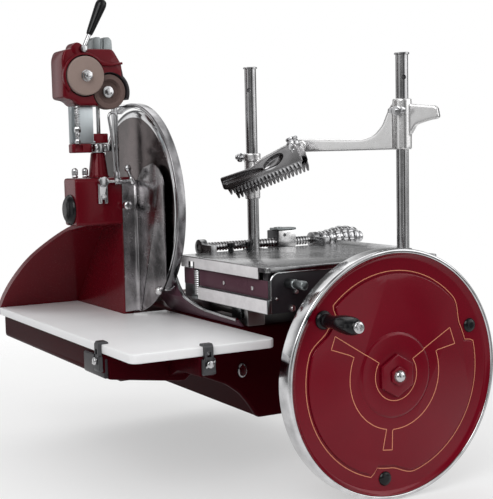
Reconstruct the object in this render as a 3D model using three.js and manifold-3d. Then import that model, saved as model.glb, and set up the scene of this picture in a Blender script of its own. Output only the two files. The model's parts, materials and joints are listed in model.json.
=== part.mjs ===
// Hand-cranked meat slicer with a flywheel, a sliding meat table and a swing-over knife sharpener.
// Lengths are millimetres and +Z is up. X = 0 lies on the flywheel's axis and grows away from the
// receiving board, Y grows away from the person who turns the crank, and Z = 0 is the underside of
// the base. The flywheel hangs in front of the base and reaches below it.
import * as THREE from 'three';
import { mergeVertices } from 'three/addons/utils/BufferGeometryUtils.js';
import Module from 'manifold-3d';

const wasm = await Module();
wasm.setup();

// Clearances and shared stock
const seatGap = 0.3;
const runningGap = 0.5;
const boltRadius = 4;
const roundSteps = 20;
const smallSteps = 10;
const wheelSteps = 48;

// Base casting
const baseFrontY = -200;
const baseBackY = 300;
const baseWall = 10;
const baseRightX = 120;
const baseWebX = -120;
const trayLeftX = -380;
const trayTopZ = 132;
const trayRimDrop = 40;
const deckTopZ = 150;
const deckThickness = 12;
const deckLeftX = -149.7;
const sprocketBayLeftX = -250;
const sprocketBayFrontY = 60;
const sprocketBayFloorZ = 30;
const crossRibHeight = 6;
const crossRibHalfWidth = 9;
const bearingNoseRadius = 34;
const bearingNoseLength = 62;
const shaftHangerY = 78;
const crossHangerX = -44;

// Flywheel and crank handle
const flywheelAxisZ = 88;
const flywheelFrontY = -400;
const flywheelRadius = 189.5;
const rimDepth = 29.5;
const rimBand = 10.5;
const webThickness = 9;
const flywheelHubRadius = 33;
const flywheelHubLength = 46;
const flywheelShaftRadius = 12.5;
const raisedFaceInset = 27;
const handleInset = 22;
const handleFlangeRadius = 14;
const handleAngle = THREE.MathUtils.degToRad(143);
const handleSpacing = THREE.MathUtils.degToRad(120);
const handlePinRadius = 6;
const handleSocketRadius = 7;
const gripLength = 78;
const gripRadius = 13.5;

// Cross shaft, bevel pair, crank and chain drive
const crossShaftY = 160;
const crossShaftRadius = 11;
const bevelTeeth = 16;
const bevelPitchRadius = 40;
const bevelFaceWidth = 14;
const bevelAddendum = 2.6;
const bevelDedendum = 3.8;
const crankRadius = 70;
const crankEyeRadius = 14;
const crankPinRadius = 8;
const crankDiscLeftX = 62;
const crankDiscThickness = 12;
const rodThickness = 12;
const wristFromBaseFront = 40;
const chainX = -218;
const chainWidth = 8;
const chainPitch = 12.7;
const chainThickness = 6;
const driveTeeth = 20;
const knifeTeeth = 8;
const sprocketThickness = 6;

// Knife, guard ring and deflector
const knifeX = -190;
const knifeY = 100;
const knifeRadius = 170;
const knifeOverTray = 31;
const knifeShaftRadius = 11;
const bushOuterRadius = 16;
const guardRingGap = 4;
const guardRingHeight = 8;
const guardRingWidth = 15;
const deflectorThickness = 2.5;
const deflectorX = -206;

// Casing behind the knife
const wallLeftX = -230;
const wallRightX = -212;
const coverThickness = 4.5;
const housingLeftX = -315;
const housingFrontY = 72;
const housingBackY = 130;
const housingBelowKnife = 28;
const housingAboveKnife = 54;
const wingThickness = 13;

// Receiving board
const boardThickness = 14;
const boardLeftX = -388;
const boardRightX = -150;
const boardFrontY = -305;
const boardCorner = 14;

// Rails, carriage and meat table
const railRadius = 9;
const railZ = 170;
const railLeftX = -125;
const railRightX = 42;
const railFrontY = -204;
const railBackY = 180;
const railBlockLength = 12;
const carriageLeftX = -170;
const carriageRightX = 100;
const carriageFrontY = -305;
const carriageBackY = -30;
const carriageFloorZ = 184;
const carriageDeckZ = 233.7;
const carriageWall = 8;
const crossWayHeight = 12;
const crossWayWidth = 20;
const tableTopZ = 254;
const tableThickness = 8;
const tableSkirt = 19;
const tableFrontY = -314;
const tableBackY = -25;
const tableRightX = 150;

// Feed screw and thickness regulator
const screwY = 14;
const screwZ = 260;
const screwRadius = 8;
const screwPitch = 8;
const screwLeftX = -112;
const screwBearingX = 122;
const screwEarWidth = 12;
const regulatorLeftX = screwBearingX + screwEarWidth + runningGap;
const regulatorStep = 13;
const screwTail = 20;
const nutBoxX = 52;
const nutBoxWidth = 28;

// Clamp and its posts
const postRadius = 10.25;
const postTopZ = 578;
const frontPostX = 130;
const frontPostY = -250;
const rearPostX = -15;
const rearPostY = -12;
const clampSleeveRadius = 15.5;
const frontSleeveZ = 422;
const frontSleeveHeight = 82;
const rearSleeveZ = 342;
const rearSleeveHeight = 80;
const clampHingeShare = 0.65;
const clampPlateLength = 158;
const clampPlateDrop = THREE.MathUtils.degToRad(17);
const toothPitch = 7.5;

// Sharpener
const columnX = -261;
const columnY = 100;
const columnHeight = 59;
const swivelHeight = 16;
const columnNeckRadius = 9;
const sharpenerFrontY = 66;
const sharpenerBackY = 124;
const slideHeight = 64;
const headRoof = 23;
const grindingStoneRadius = 33;
const honingStoneRadius = 30;
const grindingStoneX = -294;
const honingStoneX = -247;
const slideRodRadius = 3.5;

const axisX = new THREE.Vector3(1, 0, 0);
const axisY = new THREE.Vector3(0, 1, 0);
const axisZ = new THREE.Vector3(0, 0, 1);

// Outlines are drawn in the plane square to the axis: (y, z) for x, (x, z) for y and (x, y) for z.
const outlineFrames = {
  x: new THREE.Matrix4().makeBasis(axisY, axisZ, axisX),
  y: new THREE.Matrix4().makeBasis(axisX, axisZ, axisY.clone().negate()),
  z: new THREE.Matrix4(),
};

// Turned profiles are drawn as (radius, distance along the axis).
const turningFrames = {
  x: new THREE.Matrix4().makeRotationZ(-Math.PI / 2),
  y: new THREE.Matrix4(),
  z: new THREE.Matrix4().makeRotationX(Math.PI / 2),
};

function finish(color, roughness, metalness) {
  return new THREE.MeshStandardMaterial({ color, roughness, metalness, flatShading: true });
}

const redPaint = finish(0x6e0d14, 0.3, 0);
const chrome = finish(0xd9dadb, 0.12, 1);
const brushedSteel = finish(0xa9a9a8, 0.35, 1);
const castAluminium = finish(0x9fa3a4, 0.45, 1);
const darkSteel = finish(0x2f2f31, 0.5, 0.8);
const blackPlastic = finish(0x0c0c0d, 0.25, 0);
const whiteBoard = finish(0xe6e6e6, 0.5, 0);
const bronze = finish(0x9a7a45, 0.4, 1);
const grindingStoneFinish = finish(0x8a7870, 0.9, 0);
const honingStoneFinish = finish(0x5a4440, 0.9, 0);

function signedVolume(position, index) {
  const a = new THREE.Vector3();
  const b = new THREE.Vector3();
  const c = new THREE.Vector3();
  let volume = 0;
  for (let i = 0; i < index.length; i += 3) {
    a.fromBufferAttribute(position, index[i]);
    b.fromBufferAttribute(position, index[i + 1]);
    c.fromBufferAttribute(position, index[i + 2]);
    volume += a.dot(b.cross(c)) / 6;
  }
  return volume;
}

function toSolid(geometry) {
  const bare = geometry.clone();
  bare.deleteAttribute('normal');
  bare.deleteAttribute('uv');
  const merged = mergeVertices(bare, 1e-4);
  const source = merged.index.array;
  const triangles = [];
  for (let i = 0; i < source.length; i += 3) {
    const [a, b, c] = [source[i], source[i + 1], source[i + 2]];
    if (a !== b && b !== c && c !== a) triangles.push(a, b, c);
  }
  if (signedVolume(merged.attributes.position, triangles) < 0) triangles.reverse();
  const mesh = new wasm.Mesh({
    numProp: 3,
    vertProperties: new Float32Array(merged.attributes.position.array),
    triVerts: new Uint32Array(triangles),
  });
  return new wasm.Manifold(mesh);
}

function toGeometry(solid) {
  const mesh = solid.getMesh();
  const geometry = new THREE.BufferGeometry();
  geometry.setAttribute('position', new THREE.BufferAttribute(mesh.vertProperties, 3));
  geometry.setIndex(new THREE.BufferAttribute(mesh.triVerts, 1));
  return geometry;
}

function join(first, ...others) {
  return toGeometry(others.reduce((solid, other) => solid.add(toSolid(other)), toSolid(first)));
}

function cut(first, ...tools) {
  return toGeometry(tools.reduce((solid, tool) => solid.subtract(toSolid(tool)), toSolid(first)));
}

function common(first, second) {
  return toGeometry(toSolid(first).intersect(toSolid(second)));
}

function block(x0, x1, y0, y1, z0, z1) {
  const geometry = new THREE.BoxGeometry(x1 - x0, y1 - y0, z1 - z0);
  return geometry.translate((x0 + x1) / 2, (y0 + y1) / 2, (z0 + z1) / 2);
}

function rod(axis, radius, from, to, steps = roundSteps, endRadius = radius) {
  const geometry = new THREE.CylinderGeometry(endRadius, radius, to - from, steps);
  return geometry.translate(0, (from + to) / 2, 0).applyMatrix4(turningFrames[axis]);
}

function turned(axis, profile, steps = roundSteps) {
  const points = profile.map(([radius, along]) => new THREE.Vector2(radius, along));
  if (points[0].x > 0 || points.at(-1).x > 0) points.push(points[0].clone());
  return new THREE.LatheGeometry(points, steps).applyMatrix4(turningFrames[axis]);
}

function outline(points) {
  return new THREE.Shape(points.map(([u, v]) => new THREE.Vector2(u, v)));
}

function prism(axis, points, from, to, chamfer = 0) {
  const geometry = new THREE.ExtrudeGeometry(outline(points), {
    depth: to - from - 2 * chamfer,
    bevelEnabled: chamfer > 0,
    bevelThickness: chamfer,
    bevelSize: chamfer,
    bevelOffset: -chamfer,
    bevelSegments: 1,
  });
  geometry.translate(0, 0, chamfer).applyMatrix4(outlineFrames[axis]);
  const shift = axis === 'y' ? to : from;
  const along = { x: axisX, y: axisY, z: axisZ }[axis];
  return geometry.translate(along.x * shift, along.y * shift, along.z * shift);
}

function arc(centreU, centreV, radius, fromDegrees, toDegrees, steps) {
  return Array.from({ length: steps + 1 }, (_, i) => {
    const angle = THREE.MathUtils.degToRad(fromDegrees + ((toDegrees - fromDegrees) * i) / steps);
    return [centreU + radius * Math.cos(angle), centreV + radius * Math.sin(angle)];
  });
}

function roundedRectangle(u0, u1, v0, v1, radius, steps = 3) {
  return [
    ...arc(u1 - radius, v1 - radius, radius, 0, 90, steps),
    ...arc(u0 + radius, v1 - radius, radius, 90, 180, steps),
    ...arc(u0 + radius, v0 + radius, radius, 180, 270, steps),
    ...arc(u1 - radius, v0 + radius, radius, 270, 360, steps),
  ];
}

function gearOutline(teeth, rootRadius, tipRadius, rootShare, tipShare, phase = 0) {
  const points = [];
  for (let tooth = 0; tooth < teeth; tooth += 1) {
    const middle = (2 * Math.PI * (tooth + phase)) / teeth;
    const corners = [
      [rootRadius, -rootShare],
      [tipRadius, -tipShare],
      [tipRadius, tipShare],
      [rootRadius, rootShare],
    ];
    for (const [radius, share] of corners) {
      const angle = middle + (share * Math.PI) / teeth;
      points.push([radius * Math.cos(angle), radius * Math.sin(angle)]);
    }
  }
  return points;
}

const slicer = new THREE.Group();

function addPart(name, geometry, material, x = 0, y = 0, z = 0, parent = slicer) {
  const mesh = new THREE.Mesh(toGeometry(toSolid(geometry)), material);
  mesh.name = name;
  mesh.position.set(x, y, z);
  parent.add(mesh);
  return mesh;
}

// Sizes that several pieces share
const knifeZ = trayTopZ + knifeOverTray + knifeRadius;
const guardRingInner = knifeRadius + guardRingGap;
const guardRingOuter = guardRingInner + guardRingHeight;
const housingFloorZ = knifeZ - housingBelowKnife;
const housingTopZ = knifeZ + housingAboveKnife;
const columnTopZ = housingTopZ + columnHeight;
const sharpenerFloorZ = columnTopZ + slideHeight;
const grindingStoneZ = sharpenerFloorZ + grindingStoneRadius + 17;
const honingStoneZ = sharpenerFloorZ + honingStoneRadius - 6;
const sharpenerTopZ = grindingStoneZ + grindingStoneRadius + headRoof;
const rodLeftX = crankDiscLeftX + crankDiscThickness + 3;
const rodRightX = rodLeftX + rodThickness;
const wristGap = 1;
const wristY = baseFrontY + wristFromBaseFront;
const rodLength = crossShaftY - crankRadius - wristY;
const slotLeftX = crankDiscLeftX - 4;
const slotRightX = carriageRightX + 4;
const slotFrontY = wristY - 30;
const slotBackY = crossShaftY + crankRadius + crankEyeRadius + 8;
const drivePitchRadius = chainPitch / (2 * Math.sin(Math.PI / driveTeeth));
const knifePitchRadius = chainPitch / (2 * Math.sin(Math.PI / knifeTeeth));
const coverRightX = wallRightX + seatGap + coverThickness;
const boardTopZ = trayTopZ + seatGap + boardThickness;
const rimInner = flywheelRadius - rimBand;
const raisedFaceRadius = rimInner - raisedFaceInset;
const handleCircleRadius = rimInner - handleInset;
const wheelDish = 7;
const handleX = handleCircleRadius * Math.cos(handleAngle);
const handleZ = handleCircleRadius * Math.sin(handleAngle);

// Base casting: an open-bottomed box with a deck, a tray to the left and a nose for the front bearing.
function baseProfile(inset) {
  return [
    [trayLeftX + inset, trayTopZ - inset],
    [trayLeftX + inset, trayTopZ - trayRimDrop],
    [-262, 76 + inset],
    [-250, 76 + inset],
    [-240, 86 + inset],
    [-209, 73 + inset],
    [-178, 60 + inset],
    [-155, 43 + inset],
    [-140, 25 + inset],
    [baseWebX - 4 + inset, inset ? -1 : 0],
    [baseRightX - inset, inset ? -1 : 0],
    [baseRightX - inset, deckTopZ - inset],
    [deckLeftX + inset, deckTopZ - inset],
    [deckLeftX + inset, trayTopZ - inset],
  ];
}

function baseCasting() {
  const shell = prism('y', baseProfile(0), baseFrontY, baseBackY);
  const bay = block(
    sprocketBayLeftX,
    baseWebX,
    sprocketBayFrontY,
    baseBackY,
    sprocketBayFloorZ,
    trayTopZ - 4,
  );
  const frontArm = prism(
    'x',
    [
      [boardFrontY, trayTopZ],
      [boardFrontY, 102],
      [baseFrontY - 30, 100],
      [baseFrontY + 1, 86],
      [baseFrontY + 1, trayTopZ],
    ],
    -280,
    -256,
  );
  const sideLug = block(boardLeftX, trayLeftX + 1, baseFrontY, baseFrontY + 22, 102, trayTopZ);
  const nose = rod('y', bearingNoseRadius, baseFrontY - bearingNoseLength, baseFrontY + 1, roundSteps, 44)
    .translate(0, 0, flywheelAxisZ);
  const innerFrontY = baseFrontY + baseWall;
  const innerBackY = baseBackY - baseWall;
  const cavityTopZ = deckTopZ - deckThickness;
  const mainCavity = cut(
    block(baseWebX + baseWall, baseRightX - baseWall, innerFrontY, innerBackY, -1, cavityTopZ),
    block(baseWebX, baseRightX, -crossRibHalfWidth, crossRibHalfWidth, -1, crossRibHeight),
  );
  const trayProfile = [
    [trayLeftX + baseWall, trayTopZ - baseWall],
    [trayLeftX + baseWall, -1],
    [baseWebX, -1],
    [baseWebX, trayTopZ - baseWall],
  ];
  const trayCavity = cut(
    prism('y', trayProfile, innerFrontY, innerBackY),
    block(
      sprocketBayLeftX,
      baseWebX + 1,
      sprocketBayFrontY,
      sprocketBayFrontY + baseWall,
      sprocketBayFloorZ,
      trayTopZ,
    ),
    block(
      sprocketBayLeftX,
      sprocketBayLeftX + baseWall,
      sprocketBayFrontY,
      baseBackY,
      sprocketBayFloorZ,
      trayTopZ,
    ),
  );
  const chainSlot = block(
    chainX - 9,
    chainX + 9,
    crossShaftY - drivePitchRadius - 24,
    crossShaftY + drivePitchRadius + 16,
    trayTopZ - 2 * baseWall,
    trayTopZ + 1,
  );
  const rodSlot = block(slotLeftX, slotRightX, slotFrontY, slotBackY, cavityTopZ - 1, deckTopZ + 1);
  const flywheelBore = rod('y', flywheelShaftRadius + runningGap, baseFrontY - 90, shaftHangerY + 21)
    .translate(0, 0, flywheelAxisZ);
  const crossBore = rod('x', crossShaftRadius + runningGap, sprocketBayLeftX + 4, crankDiscLeftX)
    .translate(0, crossShaftY, flywheelAxisZ);
  const hangerZ = flywheelAxisZ - 20;
  const shaftHanger = block(-20, 20, shaftHangerY, shaftHangerY + 20, hangerZ, cavityTopZ + 1);
  const crossHanger = block(
    crossHangerX,
    crossHangerX + 20,
    crossShaftY - 18,
    crossShaftY + 18,
    hangerZ,
    cavityTopZ + 1,
  );
  const walls = cut(join(shell, bay, nose, frontArm, sideLug), mainCavity, trayCavity);
  return cut(
    join(walls, shaftHanger, crossHanger),
    chainSlot,
    rodSlot,
    flywheelBore,
    crossBore,
  );
}

addPart('base_casting', baseCasting(), redPaint);

// Apron between the receiving side and the carriage, with a bright curved edge
function apronGeometry() {
  const bottomZ = deckTopZ + seatGap;
  const leanTopX = carriageLeftX - 6;
  const section = [
    [deckLeftX + 4, bottomZ],
    [leanTopX + 4, carriageFloorZ],
    [leanTopX + 4, carriageFloorZ + 60],
    [leanTopX, carriageFloorZ + 60],
    [leanTopX, carriageFloorZ],
    [deckLeftX, bottomZ],
  ];
  const sweep = [
    [baseFrontY, bottomZ],
    [60, bottomZ],
    [60, 226],
    [4, 226],
    ...arc(-112, 280, 114, -28, -88, 6),
    [baseFrontY, 161],
  ];
  return common(prism('y', section, baseFrontY, 60), prism('x', sweep, leanTopX - 1, deckLeftX + 5));
}

addPart('apron', apronGeometry(), redPaint);

// Flywheel and everything that turns with it
function flywheelGeometry() {
  const bore = flywheelShaftRadius + seatGap;
  const body = turned(
    'y',
    [
      [bore, wheelDish - 5],
      [flywheelHubRadius + 27, wheelDish - 5],
      [flywheelHubRadius + 31, wheelDish - 3],
      [raisedFaceRadius - 3, wheelDish - 3],
      [raisedFaceRadius, wheelDish],
      [rimInner - 4, wheelDish],
      [rimInner, 0],
      [flywheelRadius - 3, 0],
      [flywheelRadius, 3],
      [flywheelRadius, rimDepth - 3],
      [flywheelRadius - 3, rimDepth],
      [rimInner - 4, rimDepth],
      [rimInner - 8, wheelDish + webThickness],
      [flywheelHubRadius + 4, wheelDish + webThickness],
      [flywheelHubRadius, flywheelHubLength],
      [bore, flywheelHubLength],
    ],
    wheelSteps,
  );
  const boss = rod('y', flywheelHubRadius, -3, 4, 6);
  const holes = [0, 1, 2].flatMap((hole) => {
    const angle = handleAngle + hole * handleSpacing;
    const x = handleCircleRadius * Math.cos(angle);
    const z = handleCircleRadius * Math.sin(angle);
    return [
      rod('y', handleSocketRadius + seatGap, -5, rimDepth, smallSteps).translate(x, 0, z),
      rod('y', handleFlangeRadius + 4, -5, wheelDish).translate(x, 0, z),
    ];
  });
  return cut(join(body, boss), rod('y', bore, -5, rimDepth + flywheelHubLength), ...holes);
}

addPart('flywheel', flywheelGeometry(), redPaint, 0, flywheelFrontY, flywheelAxisZ);

const pinionBackY = crossShaftY - bevelPitchRadius;
const shaftFrontY = flywheelFrontY - 3;
const shaftBackY = pinionBackY + bevelFaceWidth * Math.SQRT1_2;
const flywheelShaft = rod('y', flywheelShaftRadius, shaftFrontY, shaftBackY);
addPart('flywheel_shaft', flywheelShaft, brushedSteel, 0, 0, flywheelAxisZ);

const domeNut = join(
  rod('y', 17, -10, 0, 6),
  turned('y', [[0, -21], [6, -19.5], [11, -15], [13, -9], [13, -5], [0, -5]], 16),
);
addPart('flywheel_nut', domeNut, chrome, 0, shaftFrontY - seatGap, flywheelAxisZ);

['wheel_plug_right', 'wheel_plug_lower'].forEach((name, i) => {
  const angle = handleAngle + (2 - i) * handleSpacing;
  const plug = join(
    rod('y', 11, -5, -seatGap, smallSteps, 11),
    rod('y', handleSocketRadius, -1, webThickness, smallSteps),
  );
  const x = handleCircleRadius * Math.cos(angle);
  const z = flywheelAxisZ + handleCircleRadius * Math.sin(angle);
  addPart(name, plug, blackPlastic, x, flywheelFrontY + wheelDish, z);
});

const handlePinEnd = -gripLength - 9;
const handlePin = cut(
  join(
    rod('y', handleSocketRadius, -2, webThickness, smallSteps),
    rod('y', handleFlangeRadius, -7, -seatGap),
    rod('y', handlePinRadius, handlePinEnd, -5, 16),
    turned('y', [[0, -4], [6, -4], [8.5, -2], [8.5, 1], [0, 1]], 16).translate(0, handlePinEnd, 0),
  ),
  block(-9, 9, handlePinEnd - 6, handlePinEnd - 2.4, -1.2, 1.2),
);
addPart(
  'handle_pin',
  handlePin,
  chrome,
  handleX,
  flywheelFrontY + wheelDish,
  flywheelAxisZ + handleZ,
);

const gripBore = handlePinRadius + runningGap;
const gripProfile = [
  [gripBore, 0],
  [10, 0],
  [11, -4],
  [9.5, -9],
  [10.5, -24],
  [gripRadius, -46],
  [gripRadius, -62],
  [10.5, 2 - gripLength],
  [8.5, -gripLength],
  [gripBore, -gripLength],
];
addPart(
  'handle_grip',
  turned('y', gripProfile, 16),
  blackPlastic,
  handleX,
  flywheelFrontY + wheelDish - 7 - runningGap,
  flywheelAxisZ + handleZ,
);

// Bevel gear: a straight gear outline that shrinks towards the point where both axes meet.
function bevelGear(axis, phase, boreRadius, hubLength) {
  const tip = bevelPitchRadius + bevelAddendum;
  const root = bevelPitchRadius - bevelDedendum;
  const points = gearOutline(bevelTeeth, root, tip, 0.5, 0.3, phase);
  const depth = bevelFaceWidth * Math.SQRT1_2;
  const geometry = new THREE.ExtrudeGeometry(outline(points), { depth, bevelEnabled: false });
  const position = geometry.attributes.position;
  for (let i = 0; i < position.count; i += 1) {
    const scale = 1 - position.getZ(i) / bevelPitchRadius;
    position.setX(i, position.getX(i) * scale);
    position.setY(i, position.getY(i) * scale);
  }
  const hub = new THREE.CylinderGeometry(24, 24, hubLength, roundSteps)
    .rotateX(Math.PI / 2)
    .translate(0, 0, -hubLength / 2);
  const bore = new THREE.CylinderGeometry(boreRadius, boreRadius, 4 * hubLength + depth, roundSteps)
    .rotateX(Math.PI / 2);
  const gear = cut(join(geometry, hub), bore);
  return axis === 'y' ? gear.rotateX(-Math.PI / 2) : gear.rotateY(-Math.PI / 2);
}

const pinionGear = bevelGear('y', 0, flywheelShaftRadius + seatGap, 16);
addPart('bevel_pinion', pinionGear, darkSteel, 0, pinionBackY, flywheelAxisZ);

// Cross shaft with its bevel gear, crank and sprocket
const crossShaftLeftX = sprocketBayLeftX + 6;
const crossShaft = rod('x', crossShaftRadius, crossShaftLeftX, crankDiscLeftX + crankDiscThickness);
addPart('cross_shaft', crossShaft, brushedSteel, 0, crossShaftY, flywheelAxisZ);
const crossGear = bevelGear('x', 0.5, crossShaftRadius + seatGap, 16);
addPart('bevel_gear', crossGear, darkSteel, bevelPitchRadius, crossShaftY, flywheelAxisZ);

function crankGeometry() {
  const discRadius = crankRadius + crankEyeRadius;
  const disc = rod('x', discRadius, 0, crankDiscThickness, 40);
  const hub = rod('x', 22, -2, crankDiscThickness + 1.5);
  const pin = rod('x', crankPinRadius, crankDiscThickness - 1, crankDiscThickness + rodThickness + 6)
    .translate(0, -crankRadius, 0);
  const bore = rod('x', crossShaftRadius + seatGap, -20, 40);
  const windows = [60, 180, 300].map((middle) => {
    const inner = arc(0, 0, 30, middle - 38, middle + 38, 5);
    const outer = arc(0, 0, crankRadius - crankPinRadius - 6, middle + 46, middle - 46, 7);
    return prism('x', [...inner, ...outer], -1, crankDiscThickness + 1);
  });
  return cut(join(cut(disc, windows[0], windows[2]), hub, pin), bore);
}

addPart('crank_disc', crankGeometry(), castAluminium, crankDiscLeftX, crossShaftY, flywheelAxisZ);

function connectingRodGeometry() {
  const bar = block(0, rodThickness, -rodLength + 8, -6, -8, 8);
  const bigEye = rod('x', crankEyeRadius, 0, rodThickness);
  const smallEye = rod('x', 12, 0, rodThickness).translate(0, -rodLength, 0);
  const bigBore = rod('x', crankPinRadius + runningGap, -1, rodThickness + 1);
  const smallBore = rod('x', 7, -1, rodThickness + 1).translate(0, -rodLength, 0);
  return cut(join(bar, bigEye, smallEye), bigBore, smallBore);
}

addPart(
  'connecting_rod',
  connectingRodGeometry(),
  darkSteel,
  rodLeftX,
  crossShaftY - crankRadius,
  flywheelAxisZ,
);

function sprocket(teeth, pitchRadius, boreRadius) {
  const points = gearOutline(teeth, pitchRadius - 4, pitchRadius, 0.55, 0.2);
  const wheel = prism('x', points, -sprocketThickness / 2, sprocketThickness / 2);
  const hubRadius = Math.min(18, pitchRadius - 3);
  return cut(wheel, rod('x', boreRadius, -sprocketThickness, sprocketThickness, 16), ...(
    hubRadius < 18 ? [] : [0, 1, 2, 3].map((hole) => rod('x', 6, -9, 9, smallSteps)
      .translate(0, 27 * Math.cos(hole * Math.PI / 2), 27 * Math.sin(hole * Math.PI / 2)))
  ));
}

addPart(
  'drive_sprocket',
  sprocket(driveTeeth, drivePitchRadius, crossShaftRadius + seatGap),
  darkSteel,
  chainX,
  crossShaftY,
  flywheelAxisZ,
);
addPart(
  'knife_sprocket',
  sprocket(knifeTeeth, knifePitchRadius, knifeShaftRadius + seatGap),
  darkSteel,
  chainX,
  knifeY,
  knifeZ,
);

// The chain runs round both sprockets; angles are taken in the (y, z) plane, counter-clockwise.
const lowCentre = new THREE.Vector2(crossShaftY, flywheelAxisZ);
const highCentre = new THREE.Vector2(knifeY, knifeZ);
const chainReach = highCentre.clone().sub(lowCentre);
const chainHeading = chainReach.angle();
const chainLean = Math.acos((drivePitchRadius - knifePitchRadius) / chainReach.length());
const strandLength = Math.sqrt(chainReach.lengthSq() - (drivePitchRadius - knifePitchRadius) ** 2);
const lowArcLength = 2 * (Math.PI - chainLean) * drivePitchRadius;
const highArcLength = 2 * chainLean * knifePitchRadius;
const chainLength = lowArcLength + highArcLength + 2 * strandLength;
const chainLinks = Math.round(chainLength / chainPitch);

function besideSprocket(centre, radius, angle) {
  return [centre.x + radius * Math.cos(angle), centre.y + radius * Math.sin(angle)];
}

function between(start, end, share) {
  return start.map((value, k) => value + (end[k] - value) * share);
}

function chainPoint(travel, offset) {
  const low = drivePitchRadius + offset;
  const high = knifePitchRadius + offset;
  const leaving = chainHeading + chainLean;
  const arriving = chainHeading - chainLean;
  let s = travel;
  if (s < lowArcLength) return besideSprocket(lowCentre, low, leaving + s / drivePitchRadius);
  s -= lowArcLength;
  if (s < strandLength) {
    const start = besideSprocket(lowCentre, low, arriving);
    return between(start, besideSprocket(highCentre, high, arriving), s / strandLength);
  }
  s -= strandLength;
  if (s < highArcLength) return besideSprocket(highCentre, high, arriving + s / knifePitchRadius);
  s -= highArcLength;
  const start = besideSprocket(highCentre, high, leaving);
  return between(start, besideSprocket(lowCentre, low, leaving), s / strandLength);
}

// Smooth outline round both sprockets whose flats stay outside the offset circles
function chainLoop(offset) {
  const steps = 12;
  const lean = THREE.MathUtils.radToDeg(chainLean);
  const heading = THREE.MathUtils.radToDeg(chainHeading);
  const lowReach = (drivePitchRadius + offset) / Math.cos((Math.PI - chainLean) / steps);
  const highReach = (knifePitchRadius + offset) / Math.cos(chainLean / steps);
  return [
    ...arc(lowCentre.x, lowCentre.y, lowReach, heading + lean, heading - lean + 360, steps),
    ...arc(highCentre.x, highCentre.y, highReach, heading - lean, heading + lean, steps),
  ];
}

const chainGap = 0.6;
const chainOutline = Array.from({ length: 2 * chainLinks }, (_, i) => (
  chainPoint((chainLength * i) / (2 * chainLinks), chainGap + chainThickness - (i % 2 ? 0 : 1.4))
));
const chain = cut(
  prism('x', chainOutline, -chainWidth / 2, chainWidth / 2),
  prism('x', chainLoop(chainGap), -chainWidth, chainWidth),
);
addPart('drive_chain', chain, darkSteel, chainX);

// Knife with its shaft and nut
const knifeHubHalf = 6;
const knifeBore = knifeShaftRadius + seatGap;
const knifeProfile = [
  [knifeBore, -knifeHubHalf],
  [31, -knifeHubHalf],
  [35, -2],
  [knifeRadius - 8, -3.6],
  [knifeRadius, 0.4],
  [knifeRadius, 1.2],
  [40, 3],
  [31, knifeHubHalf],
  [knifeBore, knifeHubHalf],
];
addPart('knife', turned('x', knifeProfile, wheelSteps), chrome, knifeX, knifeY, knifeZ);

const knifeNutX = knifeX + knifeHubHalf + seatGap;
const knifeShaft = join(
  rod('x', knifeShaftRadius, housingLeftX + 4, knifeNutX + 1),
  rod('x', 22, coverRightX + 1.5, knifeX - knifeHubHalf - seatGap),
  turned('x', [[0, 8], [12, 7.5], [18, 4], [18, 0], [0, 0]], 16).translate(knifeNutX, 0, 0),
);
addPart('knife_shaft', knifeShaft, brushedSteel, 0, knifeY, knifeZ);

// Casing: bearing housing on a chain wall, with a leaning wing behind the receiving board
function knifeCasing() {
  const footZ = trayTopZ + seatGap;
  const housing = prism(
    'x',
    roundedRectangle(housingFrontY, housingBackY, housingFloorZ, housingTopZ, 5, 2),
    housingLeftX,
    wallLeftX + 1,
    1.5,
  );
  const wallOutline = [
    [housingFrontY + 5, footZ],
    [housingFrontY, housingFloorZ - 65],
    [housingFrontY, housingTopZ],
    [housingBackY, housingTopZ],
    [housingBackY + 4, housingFloorZ + 13],
    [168, housingFloorZ - 2],
    [300 + wingThickness, 152],
    [300 + wingThickness, footZ],
  ];
  const wall = prism('x', wallOutline, wallLeftX, wallRightX);
  const wingOutline = [
    [wallLeftX + 1, footZ],
    [wallLeftX + 1, housingFloorZ + 7],
    [-262, housingFloorZ + 7],
    [-292, housingFloorZ - 9],
    [-326, housingFloorZ - 35],
    [-353, housingFloorZ - 64],
    [-372, housingFloorZ - 99],
    [-383, footZ + 40],
    [boardLeftX, footZ],
  ];
  const wingBand = [
    [112, housingFloorZ - 1],
    [168, housingFloorZ - 13],
    [300, 146],
    [300, footZ],
    [300 + wingThickness, footZ],
    [300 + wingThickness, 152],
    [180, housingFloorZ - 2],
    [128, housingFloorZ + 13],
  ];
  const wing = common(
    prism('y', wingOutline, 60, 330),
    prism('x', wingBand, boardLeftX - 1, wallLeftX + 2),
  );
  const chainSpace = chainLoop(chainGap + chainThickness + 1.5);
  const bushBore = rod('x', bushOuterRadius + seatGap, housingLeftX - 1, wallLeftX + 5)
    .translate(0, knifeY, knifeZ);
  return cut(
    join(housing, wall, wing),
    prism('x', chainSpace, wallLeftX + 4, wallRightX + 1),
    bushBore,
  );
}

addPart('knife_casing', knifeCasing(), redPaint);

function chainCover() {
  const footZ = trayTopZ + seatGap;
  const rim = chainLoop(chainGap + chainThickness + 4);
  const plate = prism('x', rim, wallRightX + seatGap, coverRightX);
  const belowFoot = block(wallRightX - 1, coverRightX + 1, 0, 320, -40, footZ);
  return cut(plate, belowFoot, rod('x', 15, wallRightX, coverRightX + 1).translate(0, knifeY, knifeZ));
}

addPart('chain_cover', chainCover(), redPaint);

const bushBoreRadius = knifeShaftRadius + runningGap;
const bushLength = wallLeftX - housingLeftX;
const bushProfile = [
  [bushBoreRadius, 8],
  [bushOuterRadius, 8],
  [bushOuterRadius, bushLength],
  [bushBoreRadius, bushLength],
];
addPart('knife_bush', turned('x', bushProfile), bronze, housingLeftX, knifeY, knifeZ);

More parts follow.
